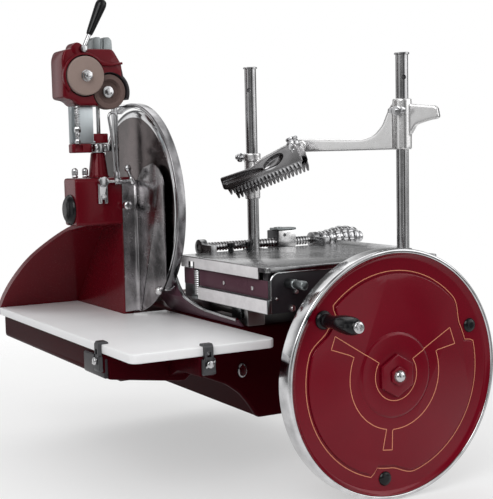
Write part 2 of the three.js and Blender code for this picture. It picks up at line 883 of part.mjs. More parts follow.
const shaftCap = turned('x', [[0, -7], [14, -6.5], [23, -4], [27, 0], [0, 0]]);
addPart('knife_shaft_cap', shaftCap, blackPlastic, housingLeftX - seatGap, knifeY, knifeZ);

// Guard ring over the knife's edge, with a stay on the casing and a foot on the apron
function guardRing() {
  const from = 72;
  const to = 229;
  const half = guardRingWidth / 2;
  const band = [
    ...arc(0, 0, guardRingOuter, from, to, 26),
    ...arc(0, 0, guardRingInner, to, from, 22),
  ];
  const stayLeftX = wallLeftX + 8 - knifeX;
  const stayY = 14;
  const stay = join(
    block(stayLeftX, stayLeftX + 8, stayY, stayY + 12, housingTopZ + seatGap - knifeZ, guardRingOuter - 1),
    block(stayLeftX, -half + 1, stayY, stayY + 12, guardRingInner + 1, guardRingOuter - 1),
  );
  const footY = guardRingOuter * Math.cos(THREE.MathUtils.degToRad(to));
  const footZ = guardRingOuter * Math.sin(THREE.MathUtils.degToRad(to));
  const footRightX = carriageLeftX - 6 - seatGap - knifeX;
  const foot = block(-half, footRightX, footY - 4, footY + 5, footZ - 2, footZ + 6);
  return join(prism('x', band, -half, half), stay, foot);
}

addPart('guard_ring', guardRing(), chrome, knifeX - 0.5, knifeY, knifeZ);

// Deflector plate: the slices run off it on to the receiving board
const deflectorKnobZ = knifeZ + 5;

function deflectorGeometry() {
  const edgeRadius = guardRingOuter + 4;
  const edge = arc(knifeY, knifeZ, edgeRadius, 260, 220, 7);
  const [edgeEndY, edgeEndZ] = edge.at(-1);
  const frontY = edgeEndY - 1.5;
  const backY = housingFrontY - 4;
  const cornerRadius = 42;
  const plateOutline = [
    [backY, boardTopZ + 4],
    ...edge,
    [frontY, edgeEndZ + 2.6],
    [frontY, knifeZ + 7],
    ...arc(frontY + cornerRadius, knifeZ + 34, cornerRadius, 180, 90, 5),
    [34, knifeZ + 71],
    [backY, knifeZ + 49],
  ];
  const plate = prism('x', plateOutline, deflectorX, deflectorX + deflectorThickness);
  const tab = block(
    wallLeftX - 6,
    deflectorX + 1,
    backY - 1,
    housingFrontY - seatGap,
    deflectorKnobZ - 16,
    deflectorKnobZ + 16,
  );
  const screwHole = rod('y', boltRadius + seatGap, backY - 3, housingFrontY, smallSteps)
    .translate(wallLeftX + 6, 0, deflectorKnobZ);
  return cut(join(plate, tab), screwHole);
}

addPart('deflector_plate', deflectorGeometry(), chrome);
const deflectorKnob = turned('y', [[0, -11], [6, -11], [8, -9], [8, 0], [0, 0]], 16);
addPart(
  'deflector_knob',
  deflectorKnob,
  chrome,
  wallLeftX + 6,
  housingFrontY - 5 - seatGap,
  deflectorKnobZ,
);

// Receiving board with its notch round the casing
const boardBackY = 300 - seatGap;
const notchX = wallLeftX - seatGap;
const notchY = housingFrontY + 4 - seatGap;
const board = prism(
  'z',
  [
    ...arc(boardLeftX + boardCorner, boardFrontY + boardCorner, boardCorner, 180, 270, 4),
    ...arc(boardRightX - boardCorner, boardFrontY + boardCorner, boardCorner, 270, 360, 4),
    [boardRightX, notchY],
    [notchX, notchY],
    [notchX, boardBackY],
    [boardLeftX, boardBackY],
  ],
  trayTopZ + seatGap,
  boardTopZ,
  1.5,
);
addPart('receiving_board', board, whiteBoard);

// Clips that hook over the board's edge and hinge on the base
const clipHeight = 38;
const clipThickness = 6;

function boardClip() {
  const half = clipThickness / 2;
  const hookZ = clipHeight + seatGap;
  const section = [
    ...arc(half, 0, half, 180, 360, 4),
    [clipThickness, hookZ],
    [clipThickness - 3, hookZ + 5],
    [-10, hookZ + 5],
    [-12, hookZ + 2],
    [-12, hookZ],
    [0, hookZ],
  ];
  const knob = rod('y', 6, clipThickness - 1, clipThickness + 5, smallSteps).translate(0, 0, 16);
  return join(prism('x', section, -11, 11), knob);
}

const clipPivotZ = boardTopZ - clipHeight;
const clipLeftY = -190;
const clipFrontX = -268;
const clipLeft = boardClip().rotateZ(Math.PI / 2);
addPart('board_clip_left', clipLeft, chrome, boardLeftX - seatGap, clipLeftY, clipPivotZ);
const clipFront = boardClip().rotateZ(Math.PI);
addPart('board_clip_front', clipFront, chrome, clipFrontX, boardFrontY - seatGap, clipPivotZ);

// Rails and their blocks on the deck
[['left', railLeftX], ['right', railRightX]].forEach(([side, x]) => {
  const railEnds = [railFrontY, railBackY - railBlockLength];
  const rail = railEnds.reduce(
    (bar, y) => join(bar, block(-16, 16, y, y + railBlockLength, deckTopZ - railZ + seatGap, 11)),
    rod('y', railRadius, railFrontY, railBackY),
  );
  addPart(`rail_${side}`, rail, brushedSteel, x, 0, railZ);
});

// Roller sizes that the carriage is cut for
const rollerRadius = 7.5;
const rollerX = carriageLeftX + rollerRadius + 0.5;
const rollerY = carriageBackY - 48;
const rollerFootZ = carriageFloorZ + 6;

// Carriage: slides along the rails and carries the cross ways for the meat table
const bushSpans = [[-180, -150], [-75, -45]];
const crossWayFrontY = -270;
const crossWayBackY = -70;

function carriageGeometry() {
  const bodyLeftX = carriageLeftX + 7;
  const body = block(
    bodyLeftX,
    carriageRightX,
    carriageFrontY,
    carriageBackY,
    carriageFloorZ,
    carriageDeckZ,
  );
  const hollow = block(
    bodyLeftX + carriageWall,
    carriageRightX - carriageWall,
    carriageFrontY + carriageWall,
    carriageBackY - carriageWall,
    carriageFloorZ - 1,
    carriageDeckZ - carriageWall,
  );
  const lowerStrip = block(
    carriageLeftX,
    bodyLeftX + 1,
    carriageFrontY - 8,
    carriageBackY - 60,
    carriageFloorZ,
    carriageFloorZ + 22,
  );
  const rollerFoot = block(
    carriageLeftX,
    bodyLeftX + carriageWall,
    rollerY - 10,
    rollerY + 10,
    carriageFloorZ,
    rollerFootZ,
  );
  const rollerNotch = rod('z', rollerRadius + 1, rollerFootZ, carriageDeckZ + 1)
    .translate(rollerX, rollerY, 0);
  const rollerHole = rod('z', 3 + seatGap, carriageFloorZ - 1, rollerFootZ + 1)
    .translate(rollerX, rollerY, 0);
  const ways = [crossWayFrontY, crossWayBackY].map((y) => block(
    bodyLeftX + 12,
    carriageRightX - 4,
    y - crossWayWidth / 2,
    y + crossWayWidth / 2,
    carriageDeckZ - 1,
    carriageDeckZ + crossWayHeight,
  ));
  const bushes = [railLeftX, railRightX].flatMap((x) => bushSpans.map(([y0, y1]) => block(
    x - 15,
    x + 15,
    y0,
    y1,
    railZ - 12,
    carriageDeckZ - carriageWall + 1,
  )));
  const bores = [railLeftX, railRightX].map((x) => (
    rod('y', railRadius + runningGap, tableFrontY - 6, 0).translate(x, 0, railZ)
  ));
  const wristArm = block(
    rodRightX + wristGap + 1,
    carriageRightX,
    wristY - 15,
    wristY + 15,
    flywheelAxisZ - 14,
    carriageDeckZ - carriageWall + 1,
  );
  const wristPin = rod('x', 6.5, rodRightX + wristGap, rodRightX + wristGap + 2)
    .translate(0, wristY, flywheelAxisZ);
  const shell = join(cut(body, hollow, rollerNotch), lowerStrip, rollerFoot, ...ways, ...bushes);
  return cut(join(shell, wristArm, wristPin), rollerHole, ...bores);
}

addPart('carriage', carriageGeometry(), castAluminium);

const frontPanelY = carriageFrontY - seatGap;
const frontPanel = join(
  block(
    carriageLeftX + 8.5,
    carriageRightX,
    frontPanelY - 5,
    frontPanelY,
    carriageFloorZ,
    carriageDeckZ - 2,
  ),
  rod('y', 8, frontPanelY - 30, frontPanelY - 1, 16).translate(-118, 0, 222),
  rod('y', 4.5, frontPanelY - 9, frontPanelY - 1, 6).translate(-140, 0, 218),
  rod('y', 4.5, frontPanelY - 9, frontPanelY - 1, 6).translate(-140, 0, 195),
);
addPart('carriage_front_panel', frontPanel, blackPlastic);

// Ribbed roller that stands in a notch at the rear left of the carriage
const rollerRibs = 12;
const rollerPitch = 3.5;
const rollerProfile = [[0, 0]];
for (let rib = 0; rib < rollerRibs; rib += 1) {
  rollerProfile.push([rollerRadius - 1.5, rib * rollerPitch], [rollerRadius, (rib + 0.5) * rollerPitch]);
}
rollerProfile.push([rollerRadius - 1.5, rollerRibs * rollerPitch], [0, rollerRibs * rollerPitch]);
addPart(
  'edge_roller',
  join(turned('z', rollerProfile, smallSteps), rod('z', 3, -4, 1, smallSteps)),
  brushedSteel,
  rollerX,
  rollerY,
  rollerFootZ + seatGap,
);

// Meat table with ears for the feed screw and lugs for the posts
function tableGeometry() {
  const undersideZ = tableTopZ - tableThickness;
  const top = prism(
    'z',
    roundedRectangle(carriageLeftX, tableRightX, tableFrontY, tableBackY, 8),
    undersideZ,
    tableTopZ,
  );
  const skirt = block(
    carriageLeftX,
    carriageLeftX + 4,
    tableFrontY + 6,
    tableBackY - 6,
    tableTopZ - tableSkirt,
    undersideZ + 1,
  );
  const notches = [crossWayFrontY, crossWayBackY].map((y) => block(
    carriageLeftX - 1,
    carriageLeftX + 5,
    y - crossWayWidth / 2 - 1,
    y + crossWayWidth / 2 + 1,
    tableTopZ - tableSkirt - 1,
    undersideZ,
  ));
  const ears = [screwLeftX, screwBearingX].map((x) => join(
    block(x, x + screwEarWidth, tableBackY - 6, screwY, undersideZ, screwZ + 6),
    rod('x', screwRadius + 6, x, x + screwEarWidth, 16).translate(0, screwY, screwZ),
  ));
  const lug = block(rearPostX - 16, rearPostX + 16, tableBackY - 1, rearPostY + 12, undersideZ, tableTopZ);
  const ledge = prism(
    'y',
    [[tableRightX - 12, tableTopZ - 1], [tableRightX, tableTopZ - 1], [tableRightX, tableTopZ + 7]],
    frontPostY + 24,
    tableBackY - 10,
  );
  const boss = rod('z', 18, tableTopZ - 1, tableTopZ + 6, 20, 15).translate(frontPostX, frontPostY, 0);
  const screwBore = screwRadius - 2 + runningGap;
  const screwBores = rod('x', screwBore, screwLeftX - 1, screwBearingX + screwEarWidth + 1)
    .translate(0, screwY, screwZ);
  const postSockets = [[frontPostX, frontPostY], [rearPostX, rearPostY]].map(([x, y]) => (
    rod('z', 6 + seatGap, undersideZ - 1, tableTopZ + 8, smallSteps).translate(x, y, 0)
  ));
  return cut(join(top, cut(skirt, ...notches), ...ears, lug, ledge, boss), screwBores, ...postSockets);
}

addPart('meat_table', tableGeometry(), chrome);

function postGeometry(seatZ) {
  const bar = rod('z', postRadius, seatZ, postTopZ - 3, 20);
  const cap = rod('z', postRadius + 2, postTopZ - 3.5, postTopZ, 20);
  const tenon = rod('z', 6, tableTopZ - tableThickness, seatZ + 1, smallSteps);
  const crossHole = rod('x', 2.2, -postRadius - 3, postRadius + 3, 8).translate(0, 0, postTopZ - 40);
  return cut(join(bar, cap, tenon), crossHole);
}

addPart('post_front', postGeometry(tableTopZ + 6 + seatGap), chrome, frontPostX, frontPostY);
addPart('post_rear', postGeometry(tableTopZ + seatGap), chrome, rearPostX, rearPostY);

// Feed screw with ridges, and the stepped regulator on its end
function feedScrewGeometry() {
  const rootRadius = screwRadius - 2;
  const ridgeFrom = screwLeftX + screwEarWidth + 2;
  const ridges = Math.floor((screwBearingX - ridgeFrom - 2) / screwPitch);
  const profile = [[0, screwLeftX + 1], [rootRadius, screwLeftX + 1]];
  for (let ridge = 0; ridge < ridges; ridge += 1) {
    const x = ridgeFrom + ridge * screwPitch;
    profile.push([rootRadius, x], [screwRadius, x + screwPitch / 2]);
  }
  profile.push([rootRadius, ridgeFrom + ridges * screwPitch]);
  profile.push([rootRadius, regulatorLeftX + screwTail], [0, regulatorLeftX + screwTail]);
  return turned('x', profile, 8);
}

addPart('feed_screw', feedScrewGeometry(), brushedSteel, 0, screwY, screwZ);

const regulatorRadii = [13, 18, 23, 27, 24, 20, 15];

function regulatorGeometry() {
  const length = regulatorRadii.length * regulatorStep;
  const profile = [[0, 0], [regulatorRadii[0] - 2, 0]];
  regulatorRadii.forEach((radius, step) => {
    profile.push([radius, step * regulatorStep + 3], [radius - 2, (step + 1) * regulatorStep]);
  });
  profile.push([0, length]);
  const bore = rod('x', screwRadius - 2 + seatGap, -1, screwTail + 1);
  return cut(turned('x', profile, roundSteps), bore);
}

addPart('thickness_regulator', regulatorGeometry(), castAluminium, regulatorLeftX, screwY, screwZ);

// Nut box: fixed to the carriage, it holds the half nut round the feed screw
const nutArmZ = carriageDeckZ - 14;

function nutBoxGeometry() {
  const box = block(-nutBoxWidth / 2, nutBoxWidth / 2, -11, 15, -16, 22);
  const arm = block(
    -nutBoxWidth / 2,
    nutBoxWidth / 2,
    carriageBackY + seatGap - screwY,
    15,
    nutArmZ - screwZ,
    -15,
  );
  const bore = rod('x', screwRadius + runningGap + 0.4, -nutBoxWidth, nutBoxWidth, 16);
  return cut(join(box, arm), bore);
}

addPart('feed_nut_box', nutBoxGeometry(), darkSteel, nutBoxX, screwY, screwZ);

const releaseLever = join(
  rod('z', 7, 0, 5, 16),
  block(0, 34, -3, 3, 1, 4),
  rod('z', 4.5, 0.5, 9, smallSteps).translate(34, 0, 0),
);
addPart('nut_release_lever', releaseLever, chrome, nutBoxX, screwY, screwZ + 22 + seatGap);

// Stop screws on the table's rear left edge
['stop_screw_outer', 'stop_screw_inner'].forEach((name, i) => {
  const knob = turned('z', [[0, 0], [5, 0], [5, 3], [3, 4], [3, 7], [7, 8], [7, 14], [0, 15]], smallSteps);
  addPart(name, knob, blackPlastic, -74 + 36 * i, tableBackY - 9, tableTopZ + seatGap);
});

// Clamp over the meat, drawn in a frame that runs from the front post towards the rear post
const clampFrame = new THREE.Group();
clampFrame.position.set(frontPostX, frontPostY, 0);
clampFrame.rotation.z = Math.atan2(rearPostY - frontPostY, rearPostX - frontPostX);
slicer.add(clampFrame);
const postSpacing = Math.hypot(rearPostX - frontPostX, rearPostY - frontPostY);
const clampHingeU = clampHingeShare * postSpacing;
const clampHingeZ = frontSleeveZ + 9;
const clampPlateWidth = 26;
const clampPlateV = clampSleeveRadius + 1.5 + clampPlateWidth / 2;
const clampArmHeight = 17;
const clampPinRadius = 5;

function clampArmGeometry() {
  const frontTopZ = frontSleeveZ + frontSleeveHeight;
  const rearTopZ = rearSleeveZ + rearSleeveHeight;
  const armTopZ = frontSleeveZ + clampArmHeight;
  const armSide = [
    [0, frontSleeveZ],
    [clampHingeU, frontSleeveZ],
    [postSpacing, rearSleeveZ + 48],
    [postSpacing, rearSleeveZ + 62],
    [clampHingeU + 10, armTopZ],
    [60, armTopZ + 2],
    [36, armTopZ + 9],
    [18, armTopZ + 31],
    [10, armTopZ + 45],
    [0, armTopZ + 45],
  ];
  const wingSide = [
    [-64, frontTopZ - 34],
    [-60, frontTopZ - 14],
    [-8, frontTopZ - 8],
    [0, frontTopZ - 8],
    [0, frontTopZ - 66],
    [-15, frontTopZ - 60],
    [-26, frontTopZ - 42],
    [-48, frontTopZ - 36],
  ];
  const solid = join(
    rod('z', clampSleeveRadius, frontSleeveZ, frontTopZ, 20),
    rod('z', clampSleeveRadius - 2, rearSleeveZ, rearTopZ, 20).translate(postSpacing, 0, 0),
    rod('z', clampSleeveRadius, rearTopZ - 14, rearTopZ, 20).translate(postSpacing, 0, 0),
    prism('y', armSide, -8, 7, 3),
    prism('y', wingSide, -6, 6, 2),
    rod('y', 9, 0, clampPlateV - clampPlateWidth / 2 - runningGap, 16)
      .translate(clampHingeU, 0, clampHingeZ),
    rod('y', clampPinRadius, 0, clampPlateV + clampPlateWidth / 2 + 2, smallSteps)
      .translate(clampHingeU, 0, clampHingeZ),
  );
  const bores = [0, postSpacing].map((u) => (
    rod('z', postRadius + runningGap, rearSleeveZ - 1, frontTopZ + 1, 20).translate(u, 0, 0)
  ));
  return cut(solid, ...bores);
}

addPart('clamp_arm', clampArmGeometry(), castAluminium, 0, 0, 0, clampFrame);

// Toothed plate: two rows of points under a ribbed bar that tilts about the arm's pin
function clampPlateGeometry() {
  const half = clampPlateWidth / 2;
  const side = [
    [-12, -14],
    [-12, 4],
    [-4, 10],
    [12, 11],
    [70, 7],
    [clampPlateLength, 5],
    [clampPlateLength, -14],
  ];
  const plate = prism('y', side, clampPlateV - half, clampPlateV + half, 2);
  const firstToothU = -10;
  const toothCount = Math.floor((clampPlateLength - firstToothU - 2) / toothPitch);
  const teeth = [[firstToothU, -12]];
  for (let tooth = 0; tooth < toothCount; tooth += 1) {
    const u = firstToothU + tooth * toothPitch;
    teeth.push([u, -15], [u + toothPitch * 0.35, -24], [u + toothPitch * 0.6, -24]);
    teeth.push([u + toothPitch * 0.95, -15]);
  }
  teeth.push([firstToothU + toothCount * toothPitch, -12]);
  const rows = [clampPlateV - half + 1, clampPlateV + half - 4].map((v) => prism('y', teeth, v, v + 3));
  const bore = rod('y', clampPinRadius + runningGap, 0, 2 * clampPlateV, smallSteps);
  return cut(join(plate, ...rows), bore).rotateY(clampPlateDrop);
}

addPart('clamp_plate', clampPlateGeometry(), chrome, clampHingeU, 0, clampHingeZ, clampFrame);

function thumbScrew() {
  const shank = rod('y', 3.5, 0, 16, smallSteps);
  const head = rod('y', 8, 6, 11, 16);
  const wings = prism('y', [[-15, -2], [-15, 3], [0, 7], [15, 3], [15, -2], [0, -4]], 7, 10);
  return join(shank, head, wings);
}

const frontScrew = thumbScrew();
addPart(
  'clamp_screw_front',
  frontScrew,
  chrome,
  0,
  clampSleeveRadius + seatGap,
  frontSleeveZ + frontSleeveHeight - 20,
  clampFrame,
);
addPart(
  'clamp_screw_rear',
  thumbScrew().rotateZ(-Math.PI / 2),
  chrome,
  postSpacing + clampSleeveRadius + seatGap,
  0,
  rearSleeveZ + rearSleeveHeight - 7,
  clampFrame,
);

// Sharpener column, swivel and oil cups on the housing
const column = turned(
  'z',
  [
    [0, housingTopZ + seatGap],
    [19, housingTopZ + seatGap],
    [19, housingTopZ + 5],
    [14, housingTopZ + 12],
    [12.5, columnTopZ - swivelHeight],
    [columnNeckRadius, columnTopZ - swivelHeight],
    [columnNeckRadius, columnTopZ],
    [0, columnTopZ],
  ],
);
addPart('sharpener_column', column, redPaint, columnX, columnY);

['oil_cup_outer', 'oil_cup_inner'].forEach((name, i) => {
  const cup = turned('z', [[0, 0], [4, 0], [4, 5], [5.5, 6], [5.5, 13], [4, 17], [0, 18]], smallSteps);
  addPart(name, cup, chrome, housingLeftX + 10 + 19 * i, columnY, housingTopZ + seatGap);
});

const swivelFloorZ = columnTopZ - swivelHeight + runningGap;
const swivelTopZ = columnTopZ;

function swivelGeometry() {
  const collar = rod('z', 17, swivelFloorZ, swivelTopZ).translate(columnX, columnY, 0);
  const arm = block(columnX - 66, columnX - 8, sharpenerFrontY - 4, columnY + 6, swivelFloorZ, swivelTopZ);
  const lugs = block(columnX, columnX + 20, columnY - 24, columnY + 6, swivelFloorZ + 1, swivelTopZ - 1);
  const bore = rod('z', columnNeckRadius + runningGap, swivelFloorZ - 1, swivelTopZ + 1)
    .translate(columnX, columnY, 0);
  return cut(join(collar, arm, lugs), bore);
}

addPart('sharpener_swivel', swivelGeometry(), redPaint);

const slideRodXs = [columnX - 11, columnX + 3];
const slideRodY = columnY;
const slidePlateY = sharpenerFrontY + 12;
const slidePlateThickness = 12;
const guideFloorZ = swivelTopZ + seatGap;
const guideLeftX = columnX - 65;
const guideFootHeight = 8;

function slideGuideGeometry() {
  const foot = block(
    guideLeftX,
    slideRodXs[1] + 8,
    slidePlateY,
    slideRodY + 8,
    guideFloorZ,
    guideFloorZ + guideFootHeight,
  );
  const plate = block(
    guideLeftX,
    guideLeftX + 40,
    slidePlateY,
    slidePlateY + slidePlateThickness,
    guideFloorZ,
    sharpenerFloorZ - seatGap,
  );
  const rods = slideRodXs.map((x) => (
    rod('z', slideRodRadius, guideFloorZ, sharpenerFloorZ + 60, smallSteps)
      .translate(x, slideRodY, 0)
  ));
  return join(foot, plate, ...rods);
}

addPart('slide_guide', slideGuideGeometry(), castAluminium);

// Sizes of the lever on the head
const leverX = -296;
const leverPivotZ = sharpenerTopZ - 11;
const leverLean = THREE.MathUtils.degToRad(25);
const leverY = sharpenerFrontY - 4.5;

// Sharpener head, which lifts on the two slide rods
function headGeometry() {
  const front = [
    [-333, sharpenerFloorZ + 13],
    [-333, sharpenerTopZ - 26],
    [-329, sharpenerTopZ - 16],
    [-319, sharpenerTopZ - 6],
    [-300, sharpenerTopZ],
    [-262, sharpenerTopZ],
    [-240, sharpenerTopZ - 16],
    [-224, sharpenerTopZ - 44],
    [-224, honingStoneZ + 6],
    [-236, sharpenerFloorZ + 12],
    [-252, sharpenerFloorZ],
    [-306, sharpenerFloorZ],
    [-316, sharpenerFloorZ + 10],
  ];
  const body = prism('y', front, sharpenerFrontY, sharpenerBackY, 3);
  const recess = rod('y', grindingStoneRadius + 2, sharpenerFrontY - 1, sharpenerFrontY + 18, roundSteps)
    .translate(grindingStoneX, 0, grindingStoneZ);
  const honingRecess = rod('y', honingStoneRadius + 3, sharpenerFrontY - 1, sharpenerFrontY + 27, roundSteps)
    .translate(honingStoneX, 0, honingStoneZ);
  const spindleBores = [
    rod('y', 6 + runningGap, 0, sharpenerFrontY + 44, 16).translate(grindingStoneX, 0, grindingStoneZ),
    rod('y', 5 + runningGap, 0, sharpenerFrontY + 50, 16).translate(honingStoneX, 0, honingStoneZ),
  ];
  const rodBores = slideRodXs.map((x) => (
    rod('z', slideRodRadius + runningGap, sharpenerFloorZ - 10, sharpenerFloorZ + 64, smallSteps)
      .translate(x, slideRodY, 0)
  ));
  const crest = prism(
    'y',
    [
      [-279, sharpenerTopZ - 5],
      [-278, sharpenerTopZ + 13],
      [-270, sharpenerTopZ + 19],
      [-262, sharpenerTopZ + 16],
      [-254, sharpenerTopZ + 19],
      [-245, sharpenerTopZ + 13],
      [-243, sharpenerTopZ - 16],
    ],
    sharpenerFrontY + 14,
    sharpenerBackY - 16,
  );
  const leverBore = rod('y', 4 + runningGap, sharpenerFrontY - 1, sharpenerFrontY + 8, smallSteps)
    .translate(leverX, 0, leverPivotZ);
  return cut(join(body, crest), leverBore, recess, honingRecess, ...spindleBores, ...rodBores);
}

addPart('sharpener_head', headGeometry(), redPaint);

// Stones with their spindles and nuts: each turns as one piece with its nut
const grindingStone = join(
  turned(
    'y',
    [
      [0, -14],
      [grindingStoneRadius - 1, -14],
      [grindingStoneRadius, -13],
      [grindingStoneRadius, 2],
      [0, 2],
    ],
    28,
  ),
  rod('y', 6, 1, 40, 16),
  rod('y', 9, -22, -13, 6),
  rod('y', 4, -27, -21, smallSteps),
);
addPart(
  'grinding_stone',
  grindingStone,
  grindingStoneFinish,
  grindingStoneX,
  sharpenerFrontY,
  grindingStoneZ,
);
const honingStone = join(
  turned(
    'y',
    [
      [0, 14],
      [18, 14],
      [21, 4],
      [honingStoneRadius - 1, 4],
      [honingStoneRadius, 6],
      [honingStoneRadius, 24],
      [0, 24],
    ],
    28,
  ),
  rod('y', 5, 23, 48, 16),
  rod('y', 10, 10, 15, 16),
  rod('y', 6, 5, 11, 6),
);
addPart('honing_stone', honingStone, honingStoneFinish, honingStoneX, sharpenerFrontY, honingStoneZ);

// Lever on the head: a tapered black grip on a bright stem
const leverGeometry = join(
  rod('y', 8, -4, 4, 16),
  rod('y', 4, 3, 12, smallSteps),
  rod('z', 3.5, 4, 30, smallSteps),
  turned('z', [[0, 26], [5, 26], [6, 30], [9.5, 80], [9, 86], [5, 90], [0, 91]], 16),
).rotateY(leverLean);
addPart('sharpener_lever', leverGeometry, blackPlastic, leverX, leverY, leverPivotZ);

// Adjusting screw beside the slide plate, with a spring between its flange and the head
const adjustX = -309;
const adjustY = sharpenerFrontY + 4;
const adjustFlangeZ = swivelTopZ + 28;
const springRadius = 4.6;
const springWire = 0.8;
const springTurns = 8;
const springLowZ = adjustFlangeZ + seatGap;
const springHeight = sharpenerFloorZ - 2 * seatGap - adjustFlangeZ;
const springPitch = (springHeight - 4 * springWire) / springTurns;
const adjustingScrew = join(
  rod('z', 2.4, swivelTopZ + seatGap, sharpenerFloorZ - seatGap, smallSteps),
  rod('z', 6, adjustFlangeZ - 9, adjustFlangeZ, 6),
  rod('z', 5, swivelTopZ + seatGap, swivelTopZ + 7, 6),
);
addPart('adjusting_screw', adjustingScrew, chrome, adjustX, adjustY);

// One unbroken wire: a helix whose two ends run straight along its axis for one wire diameter
function springPath() {
  const stepsPerTurn = 8;
  const steps = springTurns * stepsPerTurn;
  const points = [];
  const lift = 2 * springWire;
  for (let i = 0; i <= steps; i += 1) {
    const angle = (2 * Math.PI * i) / stepsPerTurn;
    const z = lift + (springPitch * i) / stepsPerTurn;
    points.push(new THREE.Vector3(springRadius * Math.cos(angle), springRadius * Math.sin(angle), z));
  }
  const straight = new THREE.Vector3(0, 0, lift);
  points.unshift(points[0].clone().sub(straight));
  points.push(points.at(-1).clone().add(straight));
  return points;
}

function wireAlong(path, radius, sides) {
  const vertices = [];
  const indices = [];
  let normal = axisX.clone();
  path.forEach((point, i) => {
    const before = path[Math.max(i - 1, 0)];
    const after = path[Math.min(i + 1, path.length - 1)];
    const tangent = after.clone().sub(before).normalize();
    normal = normal.clone().addScaledVector(tangent, -normal.dot(tangent)).normalize();
    const binormal = tangent.clone().cross(normal);
    for (let side = 0; side < sides; side += 1) {
      const angle = (2 * Math.PI * side) / sides;
      const vertex = point.clone()
        .addScaledVector(normal, radius * Math.cos(angle))
        .addScaledVector(binormal, radius * Math.sin(angle));
      vertices.push(vertex.x, vertex.y, vertex.z);
    }
  });
  for (let ring = 0; ring < path.length - 1; ring += 1) {
    for (let side = 0; side < sides; side += 1) {
      const a = ring * sides + side;
      const b = ring * sides + ((side + 1) % sides);
      indices.push(a, b, a + sides, b, b + sides, a + sides);
    }
  }
  const last = (path.length - 1) * sides;
  for (let side = 1; side < sides - 1; side += 1) {
    indices.push(0, side + 1, side, last, last + side, last + side + 1);
  }
  const geometry = new THREE.BufferGeometry();
  geometry.setAttribute('position', new THREE.Float32BufferAttribute(vertices, 3));
  geometry.setIndex(indices);
  return geometry;
}

function leastGap(path, radius, skip) {
  let least = Infinity;
  for (let i = 0; i < path.length; i += 1) {
    for (let k = i + skip; k < path.length; k += 1) least = Math.min(least, path[i].distanceTo(path[k]));
  }
  return least - 2 * radius;
}

const springLine = springPath();
console.log(`adjusting spring: least gap to itself ${leastGap(springLine, springWire, 6).toFixed(2)} mm`);
addPart('adjusting_spring', wireAlong(springLine, springWire, 5), chrome, adjustX, adjustY, springLowZ);

// Knife-guard link on the housing's front: slotted bracket, link rod and loop handle
const linkZ = housingTopZ - 7;
const linkY = housingFrontY - 8;
const linkBracket = cut(
  join(
    block(-276, -258, housingFrontY - 6, housingFrontY - seatGap, linkZ - 38, linkZ + 2),
    rod('y', 9, housingFrontY - 12, housingFrontY - seatGap, 16).translate(-267, 0, linkZ),
    rod('x', 2.5, -262, -213, 8).translate(0, linkY, linkZ),
    rod('z', 4, linkZ - 6, linkZ + 30, smallSteps).translate(-213, linkY, 0),
  ),
  block(-269.5, -264.5, housingFrontY - 7, housingFrontY + 1, linkZ - 40, linkZ - 22),
);
addPart('link_bracket', linkBracket, brushedSteel);

function loopHandleGeometry() {
  const outer = [...arc(0, 92, 9, -10, 190, 10), ...arc(0, 0, 6, 200, 340, 6)];
  const inner = [...arc(0, 92, 5.5, -10, 190, 10), ...arc(0, 18, 2, 200, 340, 5)];
  const loop = cut(prism('y', outer, -2, 2), prism('y', inner, -3, 3));
  return cut(join(loop, rod('x', 6, -6, 6, 16)), rod('x', 2.5 + runningGap, -9, 9, 8));
}

addPart('loop_handle', loopHandleGeometry(), chrome, -241, linkY, linkZ);

export default slicer;
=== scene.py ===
"""Looks, studio and camera of the hand crank meat slicer.

Sizes are millimetres, as in the part's source, until a mesh is made of them.
"""

from __future__ import annotations

import json
import logging
import math
from dataclasses import dataclass
from enum import Enum
from typing import Any, Callable, Iterable, Sequence

import bmesh
import bpy
from mathutils import Matrix, Vector


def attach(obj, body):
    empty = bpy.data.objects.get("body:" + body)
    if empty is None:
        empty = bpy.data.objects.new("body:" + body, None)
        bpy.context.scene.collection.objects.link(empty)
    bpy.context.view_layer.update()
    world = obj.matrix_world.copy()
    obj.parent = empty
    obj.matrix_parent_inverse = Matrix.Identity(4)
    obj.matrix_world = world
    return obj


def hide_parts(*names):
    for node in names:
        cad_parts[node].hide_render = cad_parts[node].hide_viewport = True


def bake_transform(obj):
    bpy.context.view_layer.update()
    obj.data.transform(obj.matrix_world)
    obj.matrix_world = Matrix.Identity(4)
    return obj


LOG = logging.getLogger("slicer")
MM = 0.001
MERGE = 1e-6
LEVEL_ANGLE = 0.4
CORNER_ANGLE = 30.0
FLAT_ANGLE = 1.0
SHARP_ANGLE = 40.0
Point2 = tuple[float, float]
Point3 = tuple[float, float, float]
Span = tuple[float, float]
Value = Any

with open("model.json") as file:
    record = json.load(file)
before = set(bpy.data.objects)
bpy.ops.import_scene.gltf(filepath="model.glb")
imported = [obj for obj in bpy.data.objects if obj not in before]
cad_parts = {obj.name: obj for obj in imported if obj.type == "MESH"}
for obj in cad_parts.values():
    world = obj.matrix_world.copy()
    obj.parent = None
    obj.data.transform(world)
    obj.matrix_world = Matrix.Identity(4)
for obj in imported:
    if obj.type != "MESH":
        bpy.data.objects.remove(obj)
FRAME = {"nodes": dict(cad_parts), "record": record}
BODY_OF: dict[str, str] = {
    node: body
    for body, nodes in FRAME["record"]["behaviour"]["bodies"].items()
    for node in nodes
}


class Axis(Enum):
    """The axis an outline is drawn square to; the value says where (u, v, along) go."""

    X = (1, 2, 0)
    Y = (0, 2, 1)
    Z = (0, 1, 2)

    def at(self, u: float, v: float, along: float) -> Point3:
        """Put an outline's point into space.

        Args:
            u: First coordinate in the outline's plane.
            v: Second coordinate in it.
            along: Distance along the axis.

        Returns:
            The point as (x, y, z).
        """
        point = [0.0, 0.0, 0.0]
        for value, index in zip((u, v, along), self.value):
            point[index] = value
        return (point[0], point[1], point[2])


